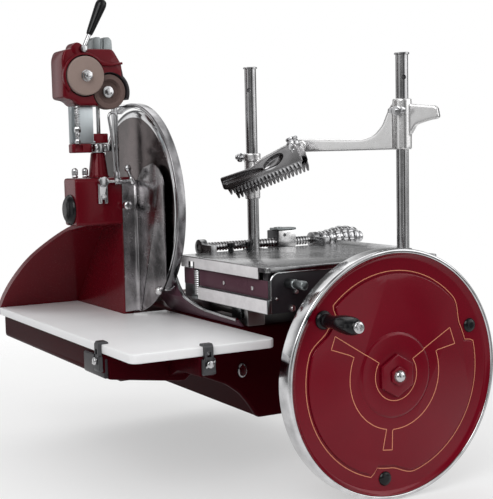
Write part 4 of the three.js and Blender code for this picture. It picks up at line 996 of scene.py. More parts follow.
@dataclass
class BaseCasting:
    """Red base casting, its apron and the two clips of the receiving board."""

    front_y: float = -200.0
    back_y: float = 300.0
    deck_z: float = 150.0
    tray_z: float = 132.0
    shaft_z: float = 88.0
    cross_y: float = 160.0
    apron_x: float = -176.0
    apron_low_x: float = -149.7
    clip_height: float = 38.0

    def build(self) -> None:
        """Build every piece."""
        self.casting()
        self.bosses()
        self.apron()
        self.clips()

    def profile(self) -> list[Point2]:
        """Return the outline of the casting seen from the front."""
        corners = [
            (-380, self.tray_z),
            (-380, 92),
            (-262, 76),
            (-250, 76),
            (-240, 86),
            (-209, 73),
            (-178, 60),
            (-155, 43),
            (-140, 25),
            (-124, 0),
            (120, 0),
            (120, self.deck_z),
            (-149.7, self.deck_z),
            (-149.7, self.tray_z),
        ]
        return rounded(corners, 6, 3)

    def casting(self) -> None:
        """Build the open-bottomed box with its nose, arm and inner walls."""
        front, back = self.front_y, self.back_y
        shell = Form.prism(Axis.Y, self.profile(), front, back, 5, 3)
        nose = [(0, -62), (30, -62), (34, -58), (40, -22), (48, -4), (54, 1), (0, 1)]
        arm = [(-305, self.tray_z), (-305, 102), (-230, 100), (front + 1, 86), (front + 1, self.tray_z)]
        shell.join(
            Form.prism(Axis.X, rounded(arm, 4), -280, -256, 3),
            Form.block((-388, -375), (front + 0.5, front + 22), (102, self.tray_z - 0.5), 3),
            Form.lathe(Axis.Y, nose, (0, front, self.shaft_z), 64, 6, 4),
        )
        tray = [(-370, 122), (-370, -5), (-120, -5), (-120, 122)]
        shell.cut(
            Form.block((-110, 110), (front + 10, back - 10), (-5, 138)),
            Form.prism(Axis.Y, tray, front + 10, back - 10),
        )
        shell.join(
            Form.block((-250, -240), (60, back - 5), (30, 127)),
            Form.block((-249, -115), (60, 70), (30, 127)),
            Form.block((-249, -115), (back - 10, back - 3), (30, 127)),
            Form.block((-115, 115), (-9, 9), (0.5, 6)),
            Form.block((-20, 20), (78, 98), (self.shaft_z - 20, 140)),
            Form.block((-44, -24), (self.cross_y - 18, self.cross_y + 18), (self.shaft_z - 20, 140)),
        )
        shell.cut(
            Form.block((-227, -209), (95.4, 216.6), (112, 133)),
            Form.block((58, 104), (-190, 252), (137, 151)),
            Form.rod(Axis.Y, 13, -290, 99, (0, 0, self.shaft_z), 0),
            Form.rod(Axis.X, 11.5, -246, 62, (0, self.cross_y, self.shaft_z), 0),
        )
        # Painted shade: the casting takes the darkened copy of the red enamel.
        shell.piece("base_shell", SHADED_RED, "base_casting")

    def bosses(self) -> None:
        """Build the oval plug, the left clip's pad and the nose's bearing ring."""
        plug = Form.lathe(Axis.Y, [(0, -5), (9, -5), (11, -1), (11, 1), (0, 1)], edge=2)
        plug.into(Matrix.Diagonal((0.78, 1, 1.15, 1))).moved(-152, self.front_y, 81)
        plug.piece("base_oval_plug", DARK_CHROME, "base_casting", stands=False)
        pad = Form.block((-386, -379), (self.front_y, self.front_y + 84), (94, 126), 3, 3)
        pad.piece("base_clip_pad", PANEL, "base_casting", stands=False)
        ring = Form.lathe(Axis.Y, [(14, -2.5), (26, -2.5), (27.5, -1), (27.5, 0.5), (14, 0.5)])
        ring.moved(0, self.front_y - 62, self.shaft_z)
        ring.piece("nose_bearing_ring", STEEL_X, "base_casting", stands=False)

    def lean_x(self, z: float) -> float:
        """Return the apron's face at a height."""
        share = min(1, max(0, (z - 150.3) / (184 - 150.3)))
        return self.apron_low_x + (self.apron_x - self.apron_low_x) * share

    def apron(self) -> None:
        """Build the curved apron and the bright strip on its edge."""
        sweep = [(self.front_y, 150.3), (60, 150.3), (60, 226), (-11, 226)]
        sweep += arc(-112, 280, 114, -28, -88, 20)
        sweep.append((self.front_y, 161))
        section = [
            (self.apron_low_x + 4, 150.3),
            (self.apron_x + 4, 184),
            (self.apron_x + 4, 244),
            (self.apron_x, 244),
            (self.apron_x, 184),
            (self.apron_low_x, 150.3),
        ]
        sheet = Form.prism(Axis.Y, section, self.front_y, 60)
        sheet.common(Form.prism(Axis.X, sweep, self.apron_x - 2, self.apron_low_x + 8)).soft(0.8)
        # The apron's red paint is drawn in the plum that paints its shade and sheen.
        sheet.piece("apron_sheet", PAINTED_SHADE_PLUM, "apron")
        edge = [(-14, 225)] + arc(-112, 280, 114, -30, -88, 24) + [(-150, 163.5), (-196, 161.4)]
        path = [(self.lean_x(z) + 2, y, z) for y, z in edge]
        Form.tube(path, 3).piece("apron_edge_strip", CHROME, "apron", stands=False)

    def clip_leaf(self) -> Form:
        """Build one clip's hooked leaf with its two bails.

        Returns:
            The leaf, hinged at the origin and facing -Y.
        """
        hook = self.clip_height + 0.3
        section = [(0, -3), (6, -3), (6, hook), (3, hook + 4), (-9, hook + 4), (-11, hook + 2)]
        section += [(-11, hook), (0, hook), (0, 3)]
        leaf = Form.prism(Axis.X, rounded(section, 1.2, 2), -10.5, 10.5, 0.8)
        leaf.cut(
            Form.block((-3.4, 3.4), (-1, 8), (23, 31), 0.8),
            *(Form.block(side, (-12, 8), (20, 50)) for side in ((-11, -7), (7, 11))),
        )
        barrel = Form.rod(Axis.X, 3.2, -10.5, 10.5, (0, 3, 0))
        bails = []
        for side in (-1, 1):
            bend = [(8.6 * side, 3, 2), (8.6 * side, 5.4, 10), (8.4 * side, 6.4, 19), (6.5 * side, 6.6, 22)]
            bails.append(Form.tube(flowing(bend, 4), 1.1, 8))
        return leaf.join(barrel, *bails)

    def clip_knob(self) -> Form:
        """Build one clip's thumb knob.

        Returns:
            The knob, in the leaf's frame.
        """
        knob = [(0, 5), (3, 5), (3, 7), (5.4, 7.6), (6, 9), (5.4, 11), (3.4, 12), (0, 12)]
        body = Form.lathe(Axis.Y, knob, edge=0.6)
        wing = Form.prism(Axis.Y, rounded([(-9, -1.6), (9, -1.6), (9, 1.6), (-9, 1.6)], 1.4, 3), 8, 10.5, 0.5)
        return body.join(wing).turned(28, Axis.Y).moved(0, 0, 13)

    def clips(self) -> None:
        """Build both clips on their pivots."""
        pivot_z = 146.3 - self.clip_height
        for name, node, turn, spot in (
            ("clip_left", "board_clip_left", 90, (-388.3, -190)),
            ("clip_front", "board_clip_front", 180, (-268, -305.3)),
        ):
            leaf = self.clip_leaf().turned(turn, Axis.Z).moved(*spot, pivot_z)
            leaf.piece(f"{name}_leaf", DARK_STEEL, node)
            knob = self.clip_knob().turned(turn, Axis.Z).moved(*spot, pivot_z)
            knob.piece(f"{name}_knob", CHROME, node)


@dataclass
class Flywheel:
    """Flywheel with its rim, raised face, pinstripes, hub, plugs and crank handle."""

    front_y: float = -400.0
    axis_z: float = 88.0
    radius: float = 189.5
    depth: float = 29.5
    hub_radius: float = 33.0
    socket_circle: float = 157.0
    handle_angle: float = 143.0
    face_radius: float = 152.5
    notch_radius: float = 137.5
    stripe_width: float = 1.5

    def build(self) -> None:
        """Build every piece."""
        self.rim()
        self.web()
        self.raised_face()
        self.pinstripes()
        self.hub()
        self.plugs()
        self.handle()
        dress("flywheel_shaft", STEEL_Y)

    @property
    def centre(self) -> Point3:
        """Return the middle of the front face."""
        return (0, self.front_y, self.axis_z)

    def socket(self, index: int) -> Point2:
        """Return a socket's place on the wheel; number 0 holds the handle."""
        turn = math.radians(self.handle_angle + 120 * index)
        return (self.socket_circle * math.cos(turn), self.socket_circle * math.sin(turn))

    def notched(self, angle: float, outer: float, inner: float) -> float:
        """Return the radius of the face's edge, which hooks inwards round each socket.

        Args:
            angle: Direction on the wheel in degrees.
            outer: Radius away from the sockets.
            inner: Radius beside a socket.

        Returns:
            The radius in that direction.
        """
        offsets = [(angle - self.handle_angle - 120 * k + 180) % 360 - 180 for k in range(3)]
        offset = min(offsets, key=abs)
        if offset > 4:
            share = 1 - min(1, (offset - 4) / 17)
        else:
            share = 1 - min(1, max(0, (-6.5 - offset) / 2.5))
        share = share * share * (3 - 2 * share)
        return outer + (inner - outer) * share

    def rim(self) -> None:
        """Build the bright rim."""
        r, d = self.radius, self.depth
        profile = [(r - 7, 2), (r - 6, 0.2), (r - 2, 0.2), (r, 2.4), (r, d - 2), (r - 2, d), (r - 13, d)]
        profile += [(r - 15, d - 2), (r - 15, d - 10), (r - 8, d - 13), (r - 7, 8)]
        ring = Form.lathe(Axis.Y, profile, self.centre, 192, 1.6, 3)
        ring.piece("wheel_rim", MIRROR, "flywheel")

    def web(self) -> None:
        """Build the painted web with its hub."""
        r, d, bore = self.radius, self.depth, 12.8
        profile = [(bore, 2), (60, 2), (63.5, 4.4), (66, 7), (r - 14, 7), (r - 10, 4), (r - 7, 0.9)]
        profile += [(r - 6.9, d - 10), (r - 14, 16), (self.hub_radius + 6, 16), (self.hub_radius + 2, 20)]
        profile += [(self.hub_radius, 44), (self.hub_radius - 2, 46), (bore, 46)]
        web = Form.lathe(Axis.Y, profile, self.centre, 160, 1.6, 3)
        holes = [
            Form.rod(Axis.Y, 7.3, -5, 30, (u, self.front_y, self.axis_z + v), 0, 24)
            for u, v in map(self.socket, range(3))
        ]
        web.cut(*holes).piece("wheel_web", RED_FACE, "flywheel")

    def face_outline(self, outer: float, inner: float) -> list[Point2]:
        """Outline the raised face with a notch at each socket.

        Args:
            outer: Radius away from the sockets.
            inner: Radius beside a socket.

        Returns:
            The outline about the wheel's axis.
        """
        points = []
        for i in range(240):
            angle = 1.5 * i
            radius = self.notched(angle, outer, inner)
            turn = math.radians(angle)
            points.append((radius * math.cos(turn), radius * math.sin(turn)))
        return points

    def raised_face(self) -> None:
        """Build the raised face, a ring with a notch at each socket."""
        plate = Form.prism(Axis.Y, self.face_outline(self.face_radius, self.notch_radius), 4, 7.4, 2, 3)
        plate.cut(Form.rod(Axis.Y, 65, -1, 9, (0, 0, 0), 0, 96))
        plate.moved(*self.centre).piece("wheel_raised_face", RED_FACE, "flywheel", stands=False)
        disc = [(self.hub_radius - 2, 2.2), (60, 2), (62.5, 2.6), (64.5, 4.2), (67, 5), (self.hub_radius, 5)]
        Form.lathe(Axis.Y, disc, self.centre, 128, 0.8).piece(
            "wheel_inner_disc", RED_FACE, "flywheel", stands=False
        )

    def surface_y(self, u: float, v: float) -> float:
        """Find the depth of the painted face.

        Args:
            u: First coordinate on the wheel.
            v: Second coordinate on it.

        Returns:
            The depth behind the front plane.
        """
        reach = math.hypot(u, v)
        if reach < 61:
            return 2
        if reach < 65:
            return 2 + (reach - 61) * 0.5
        return 4 if reach < 137 else 7

    def stripe(self, name: str, line: Sequence[Point2]) -> None:
        """Lay a painted line that joins up with itself on the face.

        Args:
            name: Name of the piece.
            line: Points of its middle.
        """
        rings: list[list[Point3]] = []
        for i, (u, v) in enumerate(line):
            back, ahead = line[i - 1], line[(i + 1) % len(line)]
            heading = Vector((ahead[0] - back[0], ahead[1] - back[1])).normalized()
            side = Vector((-heading.y, heading.x)) * (self.stripe_width / 2)
            ring = []
            for share, lift in ((1, 0.3), (0.7, -0.16), (-0.7, -0.16), (-1, 0.3)):
                a, b = u + side.x * share, v + side.y * share
                ring.append((a, self.surface_y(a, b) + lift, b))
            rings.append(ring)
        stripe = Form.skin(rings, closed=True).moved(*self.centre)
        stripe.piece(name, LINE, "flywheel", stands=False)

    def pinstripes(self) -> None:
        """Paint the outer line and the shield-shaped inner one."""
        outer, inner = self.face_radius + 4, self.notch_radius + 4
        self.stripe("wheel_outer_line", self.face_outline(outer, inner))
        shield = arc(0, 0, 38, 145, 395, 60)
        right = [(31, 22), (104, 62), (113.5, 36), (80, 30)]
        left = [(-80, 38), (-114, 50), (-107, 69), (-31, 22)]
        tab = [(-6, -82), (-7, -113), (-24, -111), (-17, -80)]
        line = shield + self.spread(right) + arc(0, 0, 82, 20, -93, 40)
        line += self.spread(tab) + arc(0, 0, 82, 257, 155, 36) + self.spread(left)
        self.stripe("wheel_inner_line", line)

    @staticmethod
    def spread(points: Sequence[Point2]) -> list[Point2]:
        """Add points between corners so that a line follows the face.

        Args:
            points: Corners of the line.

        Returns:
            The line after its first corner.
        """
        line: list[Point2] = []
        for a, b in zip(points, points[1:]):
            steps = max(2, int(math.dist(a, b) / 2))
            for k in range(steps):
                line.append((a[0] + (b[0] - a[0]) * k / steps, a[1] + (b[1] - a[1]) * k / steps))
        return line[1:] + [points[-1]]

    def hub(self) -> None:
        """Build the hexagonal boss and the nut with its dome."""
        boss = Form.prism(Axis.Y, polygon(6, self.hub_radius, 90), -3, 3, 2.2, 3)
        boss.cut(Form.rod(Axis.Y, 12.8, -9, 9)).moved(*self.centre)
        boss.piece("wheel_hub_boss", RED_FACE, "flywheel", stands=False)
        spot = (0, self.front_y - 3.3, self.axis_z)
        Form.nut(Axis.Y, 15, -3, 0, spot).piece("hub_nut", RED_FACE, "flywheel_nut")
        dome = flowing([(0, -11), (4.5, -10), (8.2, -7), (9.6, -2.6)], 5) + [(9.6, -0.5), (0, -0.5)]
        Form.lathe(Axis.Y, dome, spot, 48).piece("hub_dome", CHROME, "flywheel_nut")

    def plugs(self) -> None:
        """Build the two black plugs."""
        cap = [(0, -5), (5, -4.8), (9, -3.6), (11, -1.2), (11, -0.3), (0, -0.3)]
        for index, node in ((2, "wheel_plug_right"), (1, "wheel_plug_lower")):
            u, v = self.socket(index)
            spot = (u, self.front_y + 7, self.axis_z + v)
            plug = Form.lathe(Axis.Y, cap, spot, 40, 1, 3)
            plug.join(Form.rod(Axis.Y, 7, -1, 9, spot, 0.4))
            plug.piece(f"{node}_cap", BLACK, node)

    def handle(self) -> None:
        """Build the pin with its flange and slotted end, and the grip that turns on it."""
        u, v = self.socket(0)
        spot = (u, self.front_y + 7, self.axis_z + v)
        flange = [(0, -7), (9, -7), (11.5, -6), (14, -3), (14, -0.3), (0, -0.3)]
        Form.lathe(Axis.Y, flange, spot, 48, 1.2, 3).piece(
            "handle_flange", BLACK, "handle_pin"
        )
        end = [(0, -91), (5.5, -90.6), (8.2, -89), (8.5, -86.5), (6, -86), (6, -6), (0, -6)]
        pin = Form.lathe(Axis.Y, end, spot, 48, 0.7)
        pin.join(Form.rod(Axis.Y, 7, -1, 9, spot))
        slot = Form.block((-10, 10), (-93, -89.4), (-1.1, 1.1)).turned(35, Axis.Y).moved(*spot)
        pin.cut(slot).piece("handle_spindle", CHROME, "handle_pin")
        outer = flowing(
            [
                (10.2, -0.6), (10.6, -4), (9.2, -9), (9.8, -22), (12.6, -40), (13.5, -55),
                (12.6, -68), (9.4, -76.5),
            ],
            6,
        )
        profile = [(6.5, -0.1), (9.4, -0.1)] + outer + [(8, -78), (6.5, -78)]
        Form.lathe(Axis.Y, profile, (u, self.front_y - 0.5, self.axis_z + v), 56).piece(
            "crank_grip_body", BLACK, "handle_grip"
        )


@dataclass
class KnifeHead:
    """Knife, casing, guard ring, deflector and what sits on them."""

    knife_x: float = -190.0
    knife_y: float = 100.0
    knife_z: float = 333.0
    knife_radius: float = 170.0
    wall: Span = (-230.0, -212.0)
    housing_x: Span = (-315.0, -230.0)
    housing_y: Span = (72.0, 130.0)
    housing_z: Span = (305.0, 387.0)
    foot_z: float = 132.3
    board_left_x: float = -388.0

    def build(self) -> None:
        """Build every piece."""
        self.knife()
        self.casing()
        self.trim()
        self.guard_ring()
        self.deflector()
        dress("chain_cover", RED, 0.8)
        dress("knife_bush", BRONZE)

    @property
    def centre(self) -> Point3:
        """Return the middle of the knife."""
        return (self.knife_x, self.knife_y, self.knife_z)

    def knife(self) -> None:
        """Build the knife with its bright bevel, its shaft with the domed nut, and the shaft's cap."""
        r = self.knife_radius
        plate = [(11.3, -6), (31, -6), (35, -2), (r - 12, -3.4), (r - 12, -0.6), (40, 3), (31, 6), (11.3, 6)]
        # The plate's darkened, warm steel paints the dark reflections on the knife.
        Form.lathe(Axis.X, plate, self.centre, 128, 0.6).piece("knife_plate", BLADE_PAINTED_REFLECTION, "knife")
        edge = [(r - 12.2, -3.4), (r - 8, -3.6), (r, 0.5), (r, 1.2), (r - 12.2, -0.5)]
        Form.lathe(Axis.X, edge, self.centre, 192).piece("knife_cutting_edge", MIRROR, "knife")
        line = (0, self.knife_y, self.knife_z)
        shaft = Form.rod(Axis.X, 11, -311, -182.7, line)
        shaft.join(
            Form.rod(Axis.X, 22, -205.7, -196.3, line),
            Form.lathe(
                Axis.X,
                flowing([(0, 8), (10, 7.6), (15, 6), (18, 2.6)], 4) + [(18, 0), (0, 0)],
                (-183.7, self.knife_y, self.knife_z),
            ),
        )
        shaft.cut(Form.block((-178.2, -170), (self.knife_y - 20, self.knife_y + 20), (331, 335)))
        shaft.piece("knife_spindle", STEEL_X, "knife_shaft")
        cap = [(0, -11.5), (11, -11), (19, -8.6), (25, -4.4), (27, -0.2), (0, -0.2)]
        Form.lathe(Axis.X, cap, (-315.3, self.knife_y, self.knife_z), 56, 2, 3).piece(
            "shaft_cap_dome", BLACK, "knife_shaft_cap"
        )

    def casing(self) -> None:
        """Build the housing, the chain wall and the leaning wing as one casting."""
        y0, y1 = self.housing_y
        z0, z1 = self.housing_z
        box = [(y0, z0), (y1, z0), (y1, z1), (y0, z1)]
        housing = Form.prism(Axis.X, rounded(box, 7, 4), self.housing_x[0], self.wall[0] + 4, 3, 3)
        wall = [
            (y0 + 5, self.foot_z),
            (y0, 240),
            (y0, z1),
            (y1, z1),
            (y1 + 4, 318),
            (168, 303),
            (313, 152),
            (313, self.foot_z),
        ]
        side = Form.prism(Axis.X, rounded(wall, 4), *self.wall, 2)
        outline = [(self.wall[0] + 3, self.foot_z), (self.wall[0] + 3, 312)]
        lean = [(-256, 312), (-292, 296), (-326, 270), (-353, 241), (-372, 206), (-383, 172)]
        outline += flowing(lean + [(-388, self.foot_z)], 5)
        band = [
            (112, 304), (168, 292), (300, 146), (300, self.foot_z), (313, self.foot_z), (313, 152),
            (180, 303), (128, 318),
        ]
        wing = Form.prism(Axis.Y, outline, 60, 330)
        wing.common(Form.prism(Axis.X, rounded(band, 5), self.board_left_x - 1, self.wall[0] + 3))
        housing.join(side, wing)
        housing.cut(
            Form.prism(Axis.X, self.chain_room(), self.wall[0] + 4, self.wall[1] + 1),
            Form.rod(Axis.X, 16.3, -316, -225, (0, self.knife_y, self.knife_z), 0),
        )
        housing.piece("knife_housing", RED, "knife_casing")

    def chain_room(self) -> list[Point2]:
        """Outline the chain's space in the wall.

        Returns:
            The outline as (y, z).
        """
        low, high = Vector((160, 88)), Vector((self.knife_y, self.knife_z))
        low_reach, high_reach = 49, 25.2
        reach = high - low
        heading = math.degrees(math.atan2(reach.y, reach.x))
        lean = math.degrees(math.acos((low_reach - high_reach) / reach.length))
        line = arc(low.x, low.y, low_reach, heading + lean, heading - lean + 360, 24)
        return line + arc(high.x, high.y, high_reach, heading - lean, heading + lean, 16)

    def trim(self) -> None:
        """Build both oil cups."""
        cup = [(0, 0), (4, 0), (4, 4.6), (5.5, 5.6), (5.5, 13), (4.4, 15.6), (2.2, 17.6), (0, 18)]
        for x, node in ((-305, "oil_cup_outer"), (-286, "oil_cup_inner")):
            body = Form.lathe(Axis.Z, cup, (x, self.knife_y, 387.3), 32, 0.8, 3)
            body.join(Form.nut(Axis.Z, 5.4, 0.4, 4.2, (x, self.knife_y, 387.3)))
            body.piece(f"{node}_body", CHROME, node)

    def guard_ring(self) -> None:
        """Build the ring over the knife's edge with its bead, stay, foot and stud."""
        x = self.knife_x - 0.5
        section = [(174, -7.5), (182, -7.5), (182, 7.5), (178.5, 7.5), (176.5, 3), (174, 2)]
        soft = rounded(section, 1.6, 3)
        rings = [
            [(x + along, self.knife_y + r * c, self.knife_z + r * s) for r, along in soft]
            for c, s in arc(0, 0, 1, 72, 229, 90)
        ]
        # The band's darkened steel paints its dark reflection.
        Form.skin(rings).piece("guard_ring_band", GUARD_PAINTED_REFLECTION, "guard_ring")
        bead = [(x - 6.9, y, z) for y, z in arc(self.knife_y, self.knife_z, 175.4, 74, 228, 90)]
        Form.tube(bead, 1.5, 10).piece("guard_ring_bead", MIRROR, "guard_ring", stands=False)
        stay = Form.block((-222, -214), (114, 126), (387.3, 514), 1.2)
        stay.join(Form.block((-222, -196), (114, 126), (508, 514), 1.2))
        stay.piece("guard_ring_stay", CHROME, "guard_ring", stands=False)
        foot = Form.block((-198, -176.3), (-23.4, -14.4), (193.7, 201.6), 1.4)
        foot.join(Form.nut(Axis.Z, 5, 201, 205, (-184, -19, 0)))
        foot.piece("guard_ring_foot", CHROME, "guard_ring", stands=False)
        spot = (0, -19, 208)
        stud = Form.rod(Axis.X, 3.2, -202, -175, spot, 0.6, 28)
        stud.join(Form.nut(Axis.X, 6, -200, -195, spot), Form.rod(Axis.X, 5, -188, -182, spot, 0.6, 28))
        stud.piece("guard_ring_stud", CHROME, "guard_ring", stands=False)

    def deflector(self) -> None:
        """Build the bright plate that the slices run off, its foot bolt and its knob."""
        plate = [(58, 150.5)] + arc(self.knife_y, self.knife_z, 186, 257, 220, 24)
        plate += [(-44, 216), (-44, 340), *arc(-2, 367, 42, 180, 90, 14), (34, 402), (58, 381)]
        sheet = Form.prism(Axis.X, plate, -206, -203.5, 0.9)
        bend = flowing([(-203.5, 56), (-204.5, 63), (-208, 67), (-214, 68.4), (-230.4, 69.6)], 5)
        back = [(x, y + 1.9) for x, y in reversed(bend[3:])] + [(-206, 62), (-206, 56)]
        flange = Form.prism(Axis.Z, [(x, y) for x, y in bend] + back, 150.5, 381, 0.5)
        hole = Form.rod(Axis.Y, 4.3, 60, 80, (-224, 0, 338), 0, 24)
        sheet.join(flange).cut(hole).piece("deflector_sheet", CLOUDY, "deflector_plate")
        dome = [(0, -8), (4, -7.4), (6.4, -5.4), (7.2, -2.6), (7.2, 0.4), (0, 0.4)]
        bolt = Form.lathe(Axis.X, dome, (-206, -20, 195), 40, 0.8)
        bolt.piece("deflector_foot_bolt", BRIGHT_CASTING, "deflector_plate", stands=False)
        knob = [(0, -11), (5.4, -10.6), (7.6, -9), (8, -6.5), (8, -1.5), (7.2, -0.4), (0, -0.4)]
        Form.lathe(Axis.Y, knob, (-224, 66.7, 338), 40, 0.8).piece(
            "deflector_knob_head", MIRROR, "deflector_knob"
        )


@dataclass
class Board:
    """White receiving board."""

    left_x: float = -388.0
    right_x: float = -150.0
    front_y: float = -305.0
    back_y: float = 299.7
    low_z: float = 132.3
    high_z: float = 146.3
    corner: float = 14.0

    def build(self) -> None:
        """Build the board with rounded corners and its notch round the casing."""
        c = self.corner
        outline = arc(self.left_x + c, self.front_y + c, c, 180, 270, 10)
        outline += arc(self.right_x - c, self.front_y + c, c, 270, 360, 10)
        outline += rounded([(self.right_x, 75.7), (-230.3, 75.7), (-230.3, self.back_y)], 3, 3, closed=False)
        outline.append((self.left_x, self.back_y))
        slab = Form.prism(Axis.Z, outline, self.low_z, self.high_z, 2.6, 4)
        slab.piece("board_slab", WHITE, "receiving_board")


@dataclass
class Carriage:
    """Rails, carriage, its dark front panel, the edge roller and the drive below."""

    left_x: float = -170.0
    right_x: float = 100.0
    front_y: float = -305.0
    back_y: float = -30.0
    floor_z: float = 184.0
    deck_z: float = 233.7
    rail_xs: tuple[float, float] = (-125.0, 42.0)
    rail_z: float = 170.0
    roller_x: float = -162.0
    roller_y: float = -78.0

    def build(self) -> None:
        """Build every piece."""
        self.rails()
        self.body()
        self.panel()
        self.roller()
        for node, finish in (
            ("cross_shaft", STEEL_X),
            ("bevel_pinion", DARK_STEEL),
            ("bevel_gear", DARK_STEEL),
            ("crank_disc", ALUMINIUM),
            ("connecting_rod", DARK_STEEL),
            ("drive_sprocket", DARK_STEEL),
            ("knife_sprocket", DARK_STEEL),
            ("drive_chain", DARK_STEEL),
        ):
            dress(node, finish, 0.4)

    def rails(self) -> None:
        """Build both rails with their feet."""
        for side, x in zip(("left", "right"), self.rail_xs):
            rail = Form.rod(Axis.Y, 9, -204, 180, (x, 0, self.rail_z), 1, 48)
            for y in (-204, 168):
                rail.join(Form.block((x - 16, x + 16), (y + 0.2, y + 11.8), (150.3, 181), 1.5))
            rail.piece(f"rail_{side}_bar", STEEL_Y, f"rail_{side}")

    def body(self) -> None:
        """Build the carriage with its cross ways, bored blocks, the rod's arm and its side dressing, whose
        pale bands paint bright reflections and whose plum sheet paints shade.
        """
        x0 = self.left_x + 7
        shell = Form.block((x0, self.right_x), (self.front_y, self.back_y), (self.floor_z, self.deck_z), 1.5)
        shell.cut(
            Form.block(
                (x0 + 8, self.right_x - 8), (self.front_y + 8, self.back_y - 8),
                (183, self.deck_z - 8),
            ),
            Form.rod(Axis.Z, 8.5, 190, 235, (self.roller_x, self.roller_y, 0), 0),
        )
        shell.join(
            Form.block((self.left_x, x0 + 1), (self.front_y - 8, self.back_y - 60), (184.2, 206), 1.2),
            Form.block((self.left_x, x0 + 8), (self.roller_y - 10, self.roller_y + 10), (184.1, 190), 0.6),
            *(
                Form.block((x0 + 12, self.right_x - 4), span, (232, 245.7), 1)
                for span in ((-303, -290), (-80, -60))
            ),
            Form.block((91.2, self.right_x - 0.1), (-175, -145), (74, 226.5), 1.5),
            *(
                Form.block((x - 15, x + 15), span, (158, 226.5), 1.2)
                for x in self.rail_xs
                for span in ((-180, -150), (-75, -45))
            ),
        )
        shell.join(Form.rod(Axis.X, 6.5, 90, 92, (0, -160, 88), 0.3))
        shell.cut(
            *(Form.rod(Axis.Y, 9.5, -320, 0, (x, 0, self.rail_z), 0) for x in self.rail_xs),
            Form.rod(Axis.Z, 3.3, 183, 191, (self.roller_x, self.roller_y, 0), 0, 20),
        )
        shell.piece("carriage_casting", ALUMINIUM, "carriage")
        # A pale strip on the carriage's side paints a bright reflection.
        strip = Form.block(
            (self.left_x - 0.5, self.left_x + 0.6), (self.front_y - 7, self.back_y - 61),
            (185.2, 205), 0.4,
        )
        strip.piece("carriage_low_band", PAINTED_HIGHLIGHT_BAND, "carriage", stands=False)
        end = Form.block((x0 + 0.5, x0 + 12.5), (-304, -289), (233.2, 245.4), 0.8)
        end.join(Form.block((x0 + 0.5, x0 + 12.5), (-296, -289), (227, 234), 0.6))
        end.piece("carriage_way_end", PANEL, "carriage", stands=False)
        far = Form.block((x0 + 0.5, x0 + 12.5), (-80, -60), (233.2, 245.4), 0.8)
        far.piece("carriage_way_end_rear", PANEL, "carriage", stands=False)
        # A thin plum sheet on the carriage's side paints the shade between the pale strips.
        shade_sheet = Form.block(
            (x0 - 0.7, x0 + 0.2), (self.front_y + 0.4, self.back_y - 0.6), (206.6, 233.3), 0.3,
        )
        shade_sheet.cut(Form.rod(Axis.Z, 8.6, 190, 240, (self.roller_x, self.roller_y, 0), 0, 40))
        shade_sheet.piece("carriage_side_recess", PAINTED_SHADE_PLUM, "carriage", stands=False)
        for y in (-172, -262):
            bolt = Form.nut(Axis.X, 3.4, -2.4, 0.2, (x0 - 0.6, y, 219))
            bolt.piece(f"carriage_side_bolt_{int(-y)}", BRIGHT_CASTING, "carriage", stands=False)

    def panel(self) -> None:
        """Build the dark front panel with its cylinder and bolts."""
        y = self.front_y - 0.3
        left, top = self.left_x + 8, self.deck_z + 11.5
        outline = [
            (self.right_x, self.floor_z), (self.right_x, top),
            *arc(left + 15, top - 15, 15, 90, 180, 10),
        ]
        plate = Form.prism(Axis.Y, outline + [(left, self.floor_z)], y - 5, y, 1)
        plate.piece("front_panel_plate", PANEL, "carriage_front_panel")
        edge = [
            (self.right_x - 1, top), (-40, top), *arc(left + 15, top - 15, 15, 90, 180, 10),
            (left, 205), (left, 184.6),
        ]
        Form.tube([(x, y - 5, z) for x, z in edge], 1.5, 10).piece(
            "front_panel_lip", MIRROR, "carriage_front_panel", stands=False
        )
        barrel = [
            (0, -52), (5.6, -52), (6.8, -50.6), (6.8, -32), (6, -31), (6, -27), (7.2, -26),
            (7.2, -4.5), (0, -4.5),
        ]
        Form.lathe(Axis.Y, barrel, (-132, y, 229), 48, 0.5).piece(
            "lock_cylinder", ALUMINIUM, "carriage_front_panel", stands=False
        )
        for x, z, r, label in (
            (-119, 215, 3.6, "upper"), (-126, 190.5, 5.2, "lower"), (-154, 207, 2.4, "edge"),
        ):
            bolt = Form.nut(Axis.Y, r, -9, -4.6, (x, y, z))
            bolt.join(Form.rod(Axis.Y, r * 0.55, -11, -8, (x, y, z), 0.4, 20))
            bolt.piece(f"panel_bolt_{label}", BRIGHT_CASTING, "carriage_front_panel", stands=False)

    def roller(self) -> None:
        """Build the ribbed roller."""
        profile: list[Point2] = [(0, 0)]
        for rib in range(12):
            z = 3.5 * rib
            profile += [(5.8, z + 0.1), (7.2, z + 0.9), (7.5, z + 1.75), (7.2, z + 2.6), (5.8, z + 3.4)]
        profile.append((0, 42))
        roller = Form.lathe(Axis.Z, profile, (self.roller_x, self.roller_y, 190.3), 40)
        roller.join(Form.rod(Axis.Z, 3, 186.3, 191, (self.roller_x, self.roller_y, 0), 0.3, 24))
        roller.piece("edge_roller_ribs", CHROME, "edge_roller")


